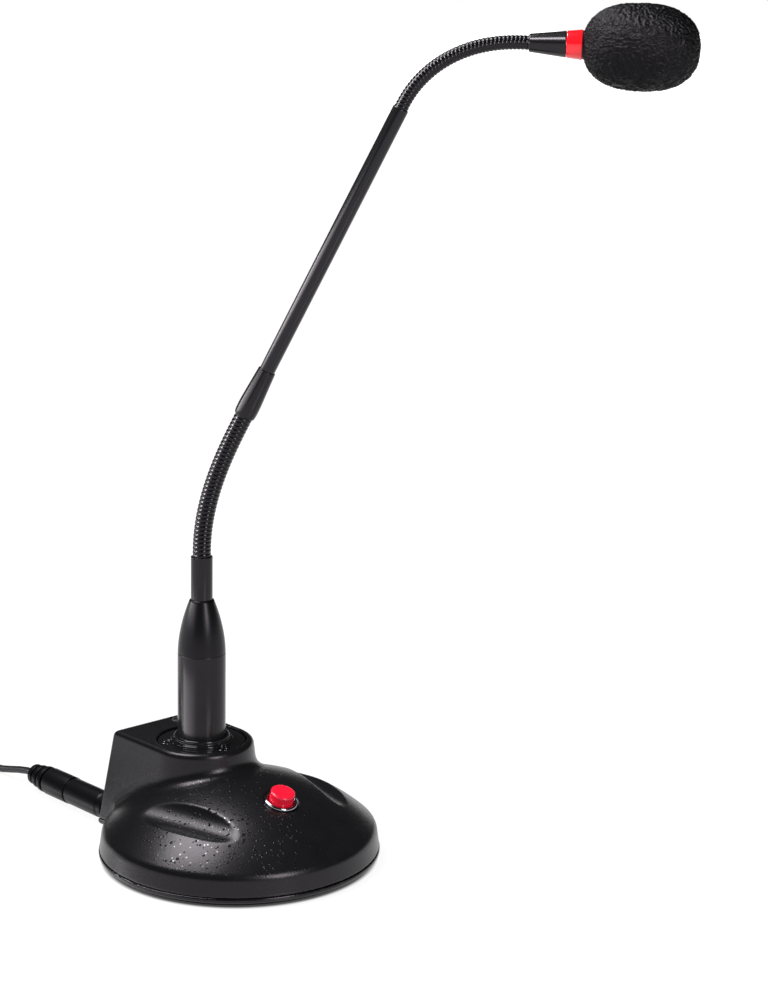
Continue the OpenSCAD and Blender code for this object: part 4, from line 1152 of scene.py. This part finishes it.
@dataclass
class Base:
    """Domed housing with its rear socket block, its bottom plate and its foot."""

    radius: float = 55.0
    rim_height: float = 11.3
    rim_lean: float = 1.5
    dome_height: float = 32.0
    wall: float = 2.5
    seam: float = 3.7
    plate_low: float = 1.5
    setback: float = 24.0
    block_top: float = 40.4
    block_half: float = 20.5
    block_rear: float = 31.0
    flare: float = 7.0
    dimple_radius: float = 10.7
    dimple_depth: float = 3.2
    dimple_out: float = 33.9
    dimple_turn: float = 14.3
    dimple_twist: float = -1.2
    button_out: float = 24.7
    mode_x: float = 9.5
    mode_back: float = 25.5
    crease_round: float = 1.1
    block_round: float = 1.6
    top_round: float = 2.2
    fillet: float = 4.0
    recess_round: float = 0.5
    hole_round: float = 0.4
    seam_gap: float = 0.12
    button_seat: float = 7.0
    button_seat_depth: float = 0.8
    button_hole: float = 6.25
    button_hole_depth: float = 15.0
    flange_seat: float = 17.85
    flange_seat_depth: float = 2.6
    flange_seat_round: float = 0.6
    socket_hole: float = 11.2
    mode_hole: float = 4.25
    holes_from: float = 20.0
    jack_at: Place = (-18.6, 0.0, 6.3)
    jack_hole: float = 2.7
    jack_hole_from: float = 40.0
    plate_proud: float = 0.15
    plate_round: float = 1.6
    screw_angles: tuple[float, ...] = (45.0, 135.0, 225.0, 315.0)
    screw_inset: float = 10.0
    screw_hole: float = 1.6
    screw_head: float = 2.95
    ballast_out: float = 22.0
    ballast_hole: float = 2.1
    ballast_head: float = 3.75
    foot_inset: float = 3.0
    foot_round: float = 0.8
    foot_hole: float = 3.8
    foot_cell: float = 0.6
    cell: float = 0.5

    @property
    def dome_radius(self) -> float:
        """Radius of the dome's sphere."""
        chord = self.radius - self.rim_lean
        rise = self.dome_height - self.rim_height
        return (chord * chord + rise * rise) / (2 * rise)

    @property
    def dome_middle(self) -> Vector:
        """Middle of the dome's sphere."""
        return Vector((0, 0, self.dome_height - self.dome_radius))

    def button_axis(self) -> Axis:
        """Returns the talk button's axis, from the dome's surface outwards."""
        tilt = math.asin(self.button_out / self.dome_radius)
        along = Vector((0, -math.sin(tilt), math.cos(tilt)))
        return Axis(self.dome_middle + along * self.dome_radius, along)

    def _dimple_axis(self) -> Axis:
        """Returns the middle line of the right-hand finger recess."""
        tilt = math.asin(self.dimple_out / self.dome_radius)
        turn = Matrix.Rotation(math.radians(-self.dimple_turn), 3, "Z") @ Matrix.Rotation(tilt, 3, "Y")
        out = turn @ Vector((0, 0, 1))
        along = turn @ Matrix.Rotation(math.radians(-self.dimple_twist), 3, "Z") @ Vector((0, 1, 0))
        height = self.dome_radius + self.dimple_radius - self.dimple_depth
        return Axis(self.dome_middle + out * height, along)

    def body(self, points: Array) -> Array:
        """Measures the distance to the outer form, without its recesses and holes.

        Args:
            points: Points whose last dimension is x, y, z.

        Returns:
            Distances, negative inside.
        """
        x, y, z = np.moveaxis(points, -1, 0)
        lean = math.cos(math.atan(self.rim_lean / self.rim_height))
        rim = (np.hypot(x, y) - self.radius + self.rim_lean * z / self.rim_height) * lean
        ball = np.linalg.norm(points - np.array(self.dome_middle), axis=-1) - self.dome_radius
        dome = smooth_max(ball, rim, self.crease_round)
        back = y - self.setback
        spread = (self.block_top - z) * math.tan(math.radians(self.flare))
        slope = math.cos(math.radians(self.flare))
        side = (np.where(back < 0, np.hypot(x, back), np.abs(x)) - self.block_half - spread) * slope
        rear = (back - self.block_rear - spread) * slope
        block = smooth_max(smooth_max(side, rear, self.block_round), z - self.block_top, self.top_round)
        return smooth_min(dome, block, self.fillet)

    def outer(self, points: Array) -> Array:
        """Measures the distance to the outer form with its finger recesses and seats."""
        form = self.body(points)
        mirrored = points.copy()
        mirrored[..., 0] = np.abs(mirrored[..., 0])
        dimple = self._dimple_axis().measure(mirrored)[0] - self.dimple_radius
        form = smooth_max(form, -dimple, self.recess_round)
        across, up = self.button_axis().measure(points)
        seat = np.maximum(across - self.button_seat, -self.button_seat_depth - up)
        form = smooth_max(form, -seat, self.recess_round)
        across, up = upright(0, self.setback).measure(points)
        seat = np.maximum(across - self.flange_seat, self.block_top - self.flange_seat_depth - up)
        return smooth_max(form, -seat, self.flange_seat_round)

    def housing(self, points: Array) -> Array:
        """Measures the distance to the housing's shell with its holes."""
        form = self.outer(points)
        shell = np.maximum(form, -form - self.wall)
        shell = smooth_max(shell, self.seam + self.seam_gap - points[..., 2], self.hole_round)
        across, up = self.button_axis().measure(points)
        shell = np.maximum(shell, -np.maximum(across - self.button_hole, -self.button_hole_depth - up))
        for axis, radius, start in (
            (upright(0, self.setback), self.socket_hole, self.holes_from),
            (upright(self.mode_x, self.setback + self.mode_back), self.mode_hole, self.holes_from),
            (Axis(Vector(self.jack_at), Vector((0, 1, 0))), self.jack_hole, self.jack_hole_from),
        ):
            across, along = axis.measure(points)
            shell = smooth_max(shell, -np.maximum(across - radius, start - along), self.hole_round)
        return shell

    def plate(self, points: Array) -> Array:
        """Measures the distance to the bottom plate with its countersunk holes."""
        z = points[..., 2]
        form = self.body(points) - self.plate_proud
        form = smooth_max(form, z - self.seam + self.seam_gap, self.hole_round)
        form = smooth_max(form, self.plate_low - z, self.plate_round)
        for axis, radius, head in self.screws():
            across, height = axis.measure(points)
            form = np.maximum(form, radius + np.maximum(head - radius - height, 0) - across)
        return form

    def screws(self) -> list[tuple[Axis, float, float]]:
        """Lists the plate's screws: their axes up from the plate's underside, and radii of hole and head."""
        found = []
        out = self.radius - self.screw_inset
        for angle in map(math.radians, self.screw_angles):
            axis = upright(out * math.cos(angle), out * math.sin(angle), self.plate_low)
            found.append((axis, self.screw_hole, self.screw_head))
        low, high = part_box("ballast_screws")
        for x in (-self.ballast_out, self.ballast_out):
            axis = upright(x, (low.y + high.y) / 2 / MM, self.plate_low)
            found.append((axis, self.ballast_hole, self.ballast_head))
        return found

    def foot(self, points: Array) -> Array:
        """Measures the distance to the foot pad with its holes."""
        z = points[..., 2]
        form = np.hypot(points[..., 0], points[..., 1]) - self.radius + self.foot_inset
        form = smooth_max(form, np.maximum(-z, z - self.plate_low), self.foot_round)
        for axis, _, _ in self.screws()[:len(self.screw_angles)]:
            form = np.maximum(form, self.foot_hole - axis.measure(points)[0])
        return form

    def build(self) -> bpy.types.Object:
        """Makes the foot, the plate and the housing, and returns the housing."""
        reach = self.radius + 2
        rear = self.setback + self.block_rear + 8
        forms = (
            ("foot_pad_rubber", self.foot, (-0.8, self.plate_low + 0.8), self.foot_cell, FOOT, "foot_pad"),
            ("bottom_plate_edge", self.plate, (0.5, self.seam + 1), self.cell, PLATE, "bottom_plate"),
            ("housing", self.housing, (2.5, self.block_top + 2), self.cell, HOUSING, "top_housing"),
        )
        for name, distance, (low, high), cell, finish, node in forms:
            net = SurfaceNet(distance, (-reach, -reach, low), (reach, rear, high), cell)
            made = install(mesh_object(name, *net.build()), finish, Body.BASE, node)
        return made


@dataclass
class Spring:
    """Coil spring under a button."""

    name: str
    node: str
    body: Body
    axis: Axis
    length: float
    radius: float
    wire: float
    curls: int
    gap: float = 0.05
    rings_per_curl: int = 24
    sides: int = 8

    def build(self) -> None:
        """Makes the spring between the base and its button."""
        share = np.linspace(0, 1, self.curls * self.rings_per_curl + 1)[:, None]
        turn = 2 * np.pi * self.curls * share
        around = 2 * np.pi * np.arange(self.sides) / self.sides
        reach = self.radius + self.wire * np.cos(around)
        end = self.wire + self.gap
        height = end + (self.length - 2 * end) * share + self.wire * np.sin(around)
        points = np.stack([reach * np.cos(turn), reach * np.sin(turn), height], -1).reshape(-1, 3)
        piece = mesh_object(self.name, points, tube_faces(len(share), self.sides))
        piece.data.transform(self.axis.matrix())
        ends = [self.axis.at(0), self.axis.at(self.length)]
        span(piece, STEEL, (Body.BASE, self.body), ends, self.node)


@dataclass
class TalkSwitch:
    """Red talk button in its bright ring."""

    base: Base
    cap_radius: float = 4.75
    cap_proud: float = 4.2
    cap_bottom: float = -3.0
    cavity_floor: float = -12.5
    ring_radius: float = 6.5
    stem: float = 1.8
    stem_end: float = -9.5
    lip: float = 5.2
    lip_top: float = -1.8

    def build(self) -> None:
        """Makes the cap, the ring and the spring."""
        axis = self.base.button_axis()
        radius, proud, bottom = self.cap_radius, self.cap_proud, self.cap_bottom
        cap = [(0, self.stem_end), (self.stem, self.stem_end), (self.stem, bottom), (self.lip, bottom)]
        cap += [(self.lip, self.lip_top), (radius, self.lip_top), (radius, proud)]
        cap += [(radius - 1.6, proud), (0, proud - 0.5)]
        install(lathe("talk_cap", rounded(cap, 1.1, 8), axis), CAP_RED, Body.TALK, "talk_button")
        edge = self.ring_radius
        ring = [(5.1, -1.5), (5.1, 0.2), (5.5, 0.6), (edge - 0.4, 0.6), (edge, 0.1), (edge, -0.8)]
        bush = [(6.15, -0.8), (6.15, -7), (5.55, -7), (5.55, -1.5)]
        install(lathe("bright_ring", rounded(ring + bush, 0.4), axis), BEZEL, Body.BASE, "switch_bezel")
        floor = Axis(axis.at(self.cavity_floor), axis.along)
        length = bottom - self.cavity_floor
        Spring(
            "talk_coil_spring", "button_spring", Body.TALK, floor, length, radius=3.4, wire=0.4, curls=5
        ).build()


@dataclass
class ModeButton:
    """Small flush button behind the neck."""

    radius: float = 3.9
    stem: float = 1.4
    cap_height: float = 4.7
    dish: float = 0.35

    def build(self) -> None:
        """Makes the button's cap and stem, and its spring."""
        low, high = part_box("mode_button")
        middle = (low + high) / 2 / MM
        bottom, top = low.z / MM, high.z / MM
        under, dish = top - self.cap_height, top - self.dish
        outline = [(0, bottom), (self.stem, bottom), (self.stem, under), (self.radius, under)]
        outline += [(self.radius, top), (self.radius - 1.2, top), (self.radius - 1.6, dish), (0, dish)]
        cap = lathe("mode_cap", rounded(outline, 0.35), upright(middle.x, middle.y), 64)
        install(cap, INNER, Body.MODE, "mode_button")
        coil_low, coil_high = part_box("mode_spring")
        floor = upright(middle.x, middle.y, coil_low.z / MM)
        length = (coil_high.z - coil_low.z) / MM
        Spring(
            "mode_coil_spring", "mode_spring", Body.MODE, floor, length, radius=2.5, wire=0.25, curls=4
        ).build()


@dataclass
class FlangeScrew:
    """Countersunk screw with a cross recess, on an axis that starts at the flange's face."""

    name: str
    axis: Axis
    degrees: float
    head: float = 2.45
    head_depth: float = 1.4
    crown: float = 11.85
    crown_drop: float = 11.8
    crown_round: float = 0.3
    shank: float = 1.2
    length: float = 8.0
    slot_half: float = 0.35
    slot_reach: float = 1.5
    slot_depth: float = 0.8
    cell: float = 0.14

    def form(self, points: Array) -> Array:
        """Measures the distance to the screw."""
        ring, up = self.axis.measure(points)
        head = np.maximum(ring - self.head - np.minimum(up, 0), -self.head_depth - up)
        head = smooth_max(head, np.hypot(ring, up + self.crown_drop) - self.crown, self.crown_round)
        shank = np.maximum(ring - self.shank, np.maximum(-self.length - up, up + 1))
        turn = math.radians(self.degrees)
        offset = points - np.array(self.axis.origin)
        a = np.abs(offset @ np.array([math.cos(turn), math.sin(turn), 0]))
        b = np.abs(offset @ np.array([-math.sin(turn), math.cos(turn), 0]))
        half, reach = self.slot_half, self.slot_reach
        slot = np.minimum(np.maximum(a - half, b - reach), np.maximum(b - half, a - reach))
        return np.maximum(np.minimum(head, shank), -np.maximum(slot, -self.slot_depth - up))

    def build(self) -> None:
        """Makes the screw."""
        x, y, z = self.axis.origin
        low, high = (x - 2.8, y - 2.8, z - self.length - 0.3), (x + 2.8, y + 2.8, z + 0.4)
        net = SurfaceNet(self.form, low, high, self.cell)
        install(mesh_object(self.name, *net.build(), sharp=30), BLACKED, Body.BASE, "flange_screws")


@dataclass
class NeckSocket:
    """Round flange that the neck plugs into, and its screws."""

    face: float = 39.8
    seat: float = 37.8
    radius: float = 17.5
    collar: float = 11.1
    collar_top: float = 42.5
    bore: float = 9.6
    floor: float = 25.5
    bottom: float = 24.0
    screw_out: float = 13.8
    screw_angles: tuple[float, ...] = (30.0, 150.0, 270.0)
    screw_hole: float = 2.6
    screw_start: float = 25.0
    screw_step: float = 40.0
    step_out: float = 1.3
    step_up: float = 0.95
    margin: float = 0.8
    cell: float = 0.3

    def _screw_axes(self, y: float) -> list[Axis]:
        """Returns the screws' axes at the flange's face."""
        turns = [math.radians(angle) for angle in self.screw_angles]
        out = self.screw_out
        return [upright(out * math.cos(turn), y + out * math.sin(turn), self.face) for turn in turns]

    def build(self) -> bpy.types.Object:
        """Makes the flange and its screws, and returns the flange."""
        low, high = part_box("socket_flange")
        y = (low.y + high.y) / 2 / MM
        middle = upright(0, y)
        axes = self._screw_axes(y)

        def flange(points: Array) -> Array:
            """Measures the distance to the flange."""
            ring, z = middle.measure(points)
            plate = smooth_max(ring - self.radius, np.maximum(z - self.face, self.seat - z), 0.7)
            step_top = np.maximum(z - self.face - self.step_up, self.seat - z)
            step = smooth_max(ring - self.collar - self.step_out, step_top, 0.5)
            tube = smooth_max(ring - self.collar, np.maximum(z - self.collar_top, self.bottom - z), 0.9)
            form = smooth_min(np.minimum(plate, step), tube, 0.4)
            form = smooth_max(form, -np.maximum(ring - self.bore, self.floor - z), 0.4)
            for axis in axes:
                across, up = axis.measure(points)
                form = np.maximum(form, self.screw_hole + np.minimum(up, 0) - across)
            return form

        reach = self.radius + 1
        low_corner = (-reach, y - reach, self.bottom - self.margin)
        high_corner = (reach, y + reach, self.collar_top + self.margin)
        net = SurfaceNet(flange, low_corner, high_corner, self.cell)
        for number, axis in enumerate(axes):
            degrees = self.screw_start + self.screw_step * number
            FlangeScrew(f"flange_screw_{number + 1}", axis, degrees).build()
        return install(mesh_object("socket_flange_plate", *net.build()), FLANGE, Body.BASE, "socket_flange")


@dataclass
class NeckPlug:
    """Barrel, boot and ferrule at the foot of the neck."""

    boot_power: float = 1.85
    boot_steps: int = 28
    boot_top_radius: float = 4.9
    ferrule_radius: float = 4.3
    bore: float = 1.9

    def build(self) -> bpy.types.Object:
        """Makes the barrel, the boot and the ferrule, and returns the barrel."""
        low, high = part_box("plug_shell")
        axis = upright(0, (low.y + high.y) / 2 / MM)
        radius = (high.x - low.x) / 2 / MM
        bottom, top = low.z / MM, high.z / MM
        barrel = [(radius - 1.5, bottom), (radius - 0.5, bottom), (radius, bottom + 0.5)]
        barrel += [(radius, top - 0.15), (radius - 0.15, top), (radius - 1.5, top)]
        shell = install(lathe("barrel", rounded(barrel, 0.15, 2), axis, 128), PAINT, Body.PLUG, "plug_shell")
        boot_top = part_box("neck_boot")[1].z / MM
        boot = self._boot(radius, top, boot_top)
        install(lathe("boot", boot, axis, 128), GLOSSY, Body.PLUG, "neck_boot")
        ferrule_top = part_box("lower_ferrule")[1].z / MM
        bore, edge = self.bore, self.ferrule_radius
        outline = [(bore, boot_top - 5.9), (3.4, boot_top - 5.9), (3.4, boot_top), (edge, boot_top)]
        outline += [(edge, ferrule_top - 0.1), (edge - 0.1, ferrule_top), (edge - 0.3, ferrule_top)]
        outline += [(edge - 0.5, ferrule_top - 0.6), (bore, ferrule_top - 0.6)]
        install(lathe("ferrule", rounded(outline, 0.12, 3), axis), PAINT, Body.PLUG, "lower_ferrule")
        return shell

    def _boot(self, radius: float, low: float, high: float) -> Profile:
        """Draws the boot's outline.

        Args:
            radius: Radius where it meets the barrel.
            low: Height where it meets the barrel.
            high: Height of its top.

        Returns:
            Its closed outline.
        """
        top_radius, bore = self.boot_top_radius, self.bore
        core = radius - 1.55
        outline = [(bore, low - 5), (core, low - 5), (core, low)]
        for step in range(self.boot_steps + 1):
            share = step / self.boot_steps
            reach = radius - 0.06 - (radius - top_radius) * share ** self.boot_power
            outline.append((reach, low + (high - low - 0.3) * share))
        return outline + [(top_radius - 0.45, high), (3.45, high), (3.45, high - 6), (bore, high - 6)]


@dataclass
class NeckPlane:
    """The upright plane that the neck is bent in."""

    origin_y: float = 24.0
    turn: float = -50.0

    def world(self, out: float, up: float, side: float = 0.0) -> Vector:
        """Returns the point at a distance out, a height, and a distance to the plane's side."""
        angle = math.radians(self.turn)
        x = out * math.cos(angle) - side * math.sin(angle)
        y = out * math.sin(angle) + side * math.cos(angle)
        return Vector((x, self.origin_y + y, up))

    def direction(self, degrees: float) -> Vector:
        """Returns the direction at an angle from straight up, leaning along the plane."""
        angle = math.radians(degrees)
        origin = self.world(0, 0)
        return self.world(math.sin(angle), math.cos(angle)) - origin


@dataclass
class Gooseneck:
    """Flexible hose of wound wire, with the lead inside it, in two halves that each reach across a joint."""

    name: str
    plane: NeckPlane
    start: tuple[float, float]
    length: float
    radius: float
    ribs: int
    power: float
    first: float
    turn: float
    bodies: tuple[Body, Body, Body]
    straight: float = 1.5
    lead_radius: float = 1.2
    depth: float = 0.4
    rings_per_rib: int = 9
    segments: int = 40
    steps: int = 240
    lead_rings: int = 25
    lead_sides: int = 12
    bend_from: float = 0.04
    sharp: float = 55.0

    def angle(self, share: float) -> float:
        """Returns the hose's angle from straight up at a share of its length."""
        part = (share * self.length - self.straight) / (self.length - 2 * self.straight)
        return self.first + self.turn * (1 - (1 - min(max(part, 0), 1)) ** self.power)

    def line(self) -> Array:
        """Returns the hose's middle line as (out, up) points at equal steps."""
        step = self.length / self.steps
        middle = np.radians([self.angle((i + 0.5) / self.steps) for i in range(self.steps)])
        moves = step * np.stack([np.sin(middle), np.cos(middle)], -1)
        return np.array(self.start) + np.concatenate([np.zeros((1, 2)), np.cumsum(moves, axis=0)])

    def end(self) -> tuple[float, float]:
        """Returns the (out, up) place of the hose's far end."""
        out, up = self.line()[-1]
        return float(out), float(up)

    def _tube(self, shares: Array, radii: Array) -> Array:
        """Finds the points of a tube round the middle line.

        Args:
            shares: Share of the length at each ring.
            radii: Radius at each ring and side.

        Returns:
            Points in millimetres, ring by ring.
        """
        sides = radii.shape[1]
        line = self.line()
        marks = np.linspace(0, 1, self.steps + 1)
        out = np.interp(shares, marks, line[:, 0])
        up = np.interp(shares, marks, line[:, 1])
        lean = np.radians([self.angle(share) for share in shares])
        around = 2 * np.pi * np.arange(sides) / sides
        across = radii * np.cos(around)
        side = radii * np.sin(around)
        out_points = out[:, None] + across * np.cos(lean)[:, None]
        up_points = up[:, None] - across * np.sin(lean)[:, None]
        yaw = math.radians(self.plane.turn)
        x = out_points * math.cos(yaw) - side * math.sin(yaw)
        y = out_points * math.sin(yaw) + side * math.cos(yaw) + self.plane.origin_y
        return np.stack([x, y, up_points], -1).reshape(-1, 3)

    def _wound(self, shares: Array) -> Array:
        """Returns the wound wire's radius at each ring and side."""
        around = np.arange(self.segments) / self.segments
        phase = (shares[:, None] * self.ribs - around[None, :]) % 1
        bulge = np.sqrt(np.maximum(1 - (2 * phase - 1) ** 2, 0)) ** 0.8
        return self.radius - self.depth * (1 - bulge)

    def _half(
        self, number: int, shares: Array, radii: Array, kind: str, finish: Finish, node: str
    ) -> bpy.types.Object:
        """Makes one half of the hose or of its lead, which reaches across one joint.

        Args:
            number: 0 for the lower half and 1 for the upper.
            shares: Share of the length at each ring.
            radii: Radius at each ring and side.
            kind: Word for the piece's name.
            finish: Its finish.
            node: The frame's node that it stands for.

        Returns:
            The half.
        """
        points, faces = self._tube(shares, radii), tube_faces(*radii.shape)
        piece = mesh_object(f"{self.name}_{kind}_{number + 1}", points, faces, self.sharp)
        line = self.line()
        reach = (number / 2 + self.bend_from, number / 2 + 0.5 - self.bend_from)
        ends = [self.plane.world(*line[round(self.steps * share)]) for share in reach]
        return span(piece, finish, self.bodies[number:number + 2], ends, node)

    def build(self) -> list[bpy.types.Object]:
        """Makes the two halves of the hose and of its lead, and returns the hose's halves."""
        rings = self.ribs * self.rings_per_rib
        hose = []
        for number in range(2):
            shares = np.linspace(number / 2, number / 2 + 0.5, rings // 2 + 1)
            node = f"{self.name}_gooseneck"
            hose.append(self._half(number, shares, self._wound(shares), "hose", HOSE, node))
            plain = np.linspace(number / 2, number / 2 + 0.5, self.lead_rings)
            radii = np.full((len(plain), self.lead_sides), self.lead_radius)
            self._half(number, plain, radii, "lead", CORD, f"{self.name}_lead")
        return hose


@dataclass
class MiddleTube:
    """Coupling sleeve and rigid tube between the two goosenecks."""

    axis: Axis
    sleeve_length: float = 20.3
    tube_length: float = 114.0
    tube_radius: float = 3.1
    tube_bore: float = 2.0
    tube_seat: float = 8.0

    def build(self) -> None:
        """Makes the sleeve and the tube."""
        top, seat = self.sleeve_length, self.tube_seat
        sleeve = [(1.9, 0), (3.9, 0), (4.2, 0.4), (4.36, 1.8), (4.4, 4.0), (4.34, 6.4)]
        sleeve += [(3.52, top - 0.2), (3.35, top), (3.15, top), (3.15, seat), (1.9, seat)]
        install(lathe("sleeve", rounded(sleeve, 0.9, 5), self.axis), PAINT, Body.TUBE, "coupling_sleeve")
        radius, bore, low, end = self.tube_radius, self.tube_bore, seat + 0.05, self.end()
        tube = [(bore, low), (radius, low), (radius, end - 0.4), (radius - 0.3, end), (bore, end)]
        install(lathe("tube", rounded(tube, 0.15, 2), self.axis), SATIN, Body.TUBE, "rigid_tube")

    def end(self) -> float:
        """Returns where the tube ends along its axis."""
        return self.sleeve_length + self.tube_length


@dataclass
class Head:
    """Cone, light ring and foam windscreen."""

    axis: Axis
    cone_length: float = 14.0
    ring_length: float = 6.0
    foam_length: float = 43.5
    foam_radius: float = 16.3
    fullness: float = 2.4
    foam_rings: int = 180
    foam_sides: int = 360
    tip_radius: float = 0.02
    flatten: float = 0.5
    seed: int = 7
    warp_scale: float = 0.3
    warp_reach: float = 0.9
    coarse_scale: float = 0.65
    coarse_steep: float = 3.0
    coarse_share: float = 0.6
    fine_scale: float = 1.2
    fine_steep: float = 2.4
    ridge_height: float = 0.75
    ridge_middle: float = 0.6
    bore_radius: float = 5.45
    bore_depth: float = 18.3
    mouth: float = 0.35

    def build(self) -> list[bpy.types.Object]:
        """Makes the cone, the ring and the windscreen, and returns the cone and the windscreen."""
        top, nose = self.cone_length - 0.05, self.cone_length + 1.6
        cone = [(1.9, 0), (3.2, 0), (3.45, 0.35), (4.98, self.cone_length - 0.4), (4.9, top)]
        cone += [(3.55, top), (3.55, nose), (1.9, nose)]
        taper = install(lathe("cone", rounded(cone, 0.2), self.axis), SATIN, Body.HEAD, "head_cone")
        low, end = self.cone_length + 0.1, self.cone_length + self.ring_length
        ring = [(3.6, low), (4.95, low), (5.1, low + 0.3), (5.7, end - 0.2), (5.5, end), (3.6, end)]
        install(lathe("lit_ring", rounded(ring, 0.2), self.axis), RING_RED, Body.HEAD, "light_ring")
        return [taper, self._foam(end)]

    def _foam(self, start: float) -> bpy.types.Object:
        """Makes the windscreen of open foam round the capsule.

        Args:
            start: Where it starts along the head's axis.

        Returns:
            The windscreen.
        """
        share = (1 - np.cos(np.pi * np.linspace(0.02, 1, self.foam_rings))) / 2
        radius = self.foam_radius * (1 - np.abs(2 * share - 1) ** self.fullness) ** (1 / self.fullness)
        radius[-1] = self.tip_radius
        around = 2 * np.pi * np.arange(self.foam_sides) / self.foam_sides
        x = radius[:, None] * np.cos(around)
        y = radius[:, None] * np.sin(around)
        z = np.broadcast_to((self.foam_length * share)[:, None], x.shape)
        points = np.stack([x, y, z], -1)
        normal = points - np.array([0, 0, self.foam_length / 2])
        normal[..., 2] *= self.flatten
        normal /= np.linalg.norm(normal, axis=-1, keepdims=True)
        noise.seed_set(self.seed)
        ridges = np.array([self._ridge(Vector(point)) for point in points.reshape(-1, 3)]).reshape(x.shape)
        skin = points + normal * (self.ridge_height * (ridges - self.ridge_middle))[..., None]
        bore = np.stack([np.cos(around), np.sin(around), np.zeros_like(around)], -1) * self.bore_radius
        bore_ends = [bore + np.array([0, 0, depth]) for depth in (self.bore_depth, self.mouth)]
        middle = np.array([[0.0, 0.0, self.bore_depth]])
        rings = [*bore_ends, *skin]
        sides = self.foam_sides
        *walls, _, tip = tube_faces(len(rings), sides)
        hub = len(rings) * sides
        fan = [(hub, (k + 1) % sides, k) for k in range(sides)]
        foam = mesh_object("foam", np.concatenate([*rings, middle]), [*walls, *fan, tip], 180)
        foam.data.transform(Matrix.Translation(self.axis.along * start * MM) @ self.axis.matrix())
        install(foam, FOAM, Body.HEAD, "windscreen")
        return foam

    def _ridge(self, point: Vector) -> float:
        """Returns the height, from 0 to 1, of the foam's curled cell walls at a point."""
        warp = noise.noise_vector(point * self.warp_scale) * self.warp_reach
        coarse = 1 - abs(noise.noise(point * self.coarse_scale + warp)) * self.coarse_steep
        fine = 1 - abs(noise.noise(point * self.fine_scale + warp * 2)) * self.fine_steep
        return self.coarse_share * max(coarse, 0) + (1 - self.coarse_share) * max(fine, 0)


def dress_inner(nodes: dict[str, bpy.types.Object]) -> None:
    """Gives every node of the frame that still shows a finish.

    Args:
        nodes: The frame's nodes by name.
    """
    finishes = {
        "plate_screws": STEEL, "ballast_weight": STEEL, "ballast_screws": STEEL, "circuit_board": BOARD,
        "board_standoffs": BRASS, "board_screws": STEEL, "switch_nut": CHROME, "switch_body": INNER,
        "switch_terminals": BRASS, "mode_switch": INNER, "mode_plunger": INNER, "mode_clip": STEEL,
        "socket_insert": INNER, "socket_contacts": BRASS,
        "jack_socket": INNER, "cord_plug_pin": CHROME, "plug_insert": INNER, "plug_pins": BRASS,
        "plug_lead": CORD, "tube_lead": CORD, "head_lead": CORD, "led_board": BOARD,
        "capsule_housing": PAINT, "capsule_seal": FOOT, "mic_capsule": CHROME, "front_grille": PAINT,
    }
    for name, finish in finishes.items():
        dress(nodes[name], finish)
        LOG.info("%s is finished as %s", name, finish.name)


def main() -> None:
    """Builds the microphone's pieces round the frame."""
    logging.basicConfig(level=logging.INFO, format="%(name)s: %(message)s")
    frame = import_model()
    studio = Studio()
    studio.build()
    plug = Cord().build()
    base = Base()
    housing = base.build()
    TalkSwitch(base).build()
    ModeButton().build()
    flange = NeckSocket().build()
    barrel = NeckPlug().build()
    studio.light(LEFT_SOFTBOX, Reach.ALL_BUT, housing, flange, plug)
    studio.light(SIDE_CARD, Reach.ONLY, flange, barrel)
    plane = NeckPlane()
    ferrule_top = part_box("lower_ferrule")[1].z / MM
    lower = Gooseneck(
        "lower", plane, start=(0.0, ferrule_top), length=59.5, radius=3.65, ribs=36, power=1.66, first=0.0,
        turn=26.5, bodies=(Body.PLUG, Body.LOWER, Body.TUBE),
    )
    lower_hose = lower.build()
    tube = MiddleTube(Axis(plane.world(*lower.end()), plane.direction(lower.turn)))
    tube.build()
    out, up = lower.end()
    slope = math.radians(lower.turn)
    tube_end = (out + tube.end() * math.sin(slope), up + tube.end() * math.cos(slope))
    upper = Gooseneck(
        "upper", plane, start=tube_end, length=57.5, radius=2.75, ribs=38, power=1.23, first=lower.turn,
        turn=65.0, bodies=(Body.TUBE, Body.UPPER, Body.HEAD),
    )
    studio.light(NECK_STRIP, Reach.ONLY, *lower_hose, *upper.build())
    head = Head(Axis(plane.world(*upper.end()), plane.direction(upper.first + upper.turn)))
    studio.light(HEAD_CARD, Reach.ONLY, *head.build())
    dress_inner(frame["nodes"])


if __name__ == "__main__":
    main()
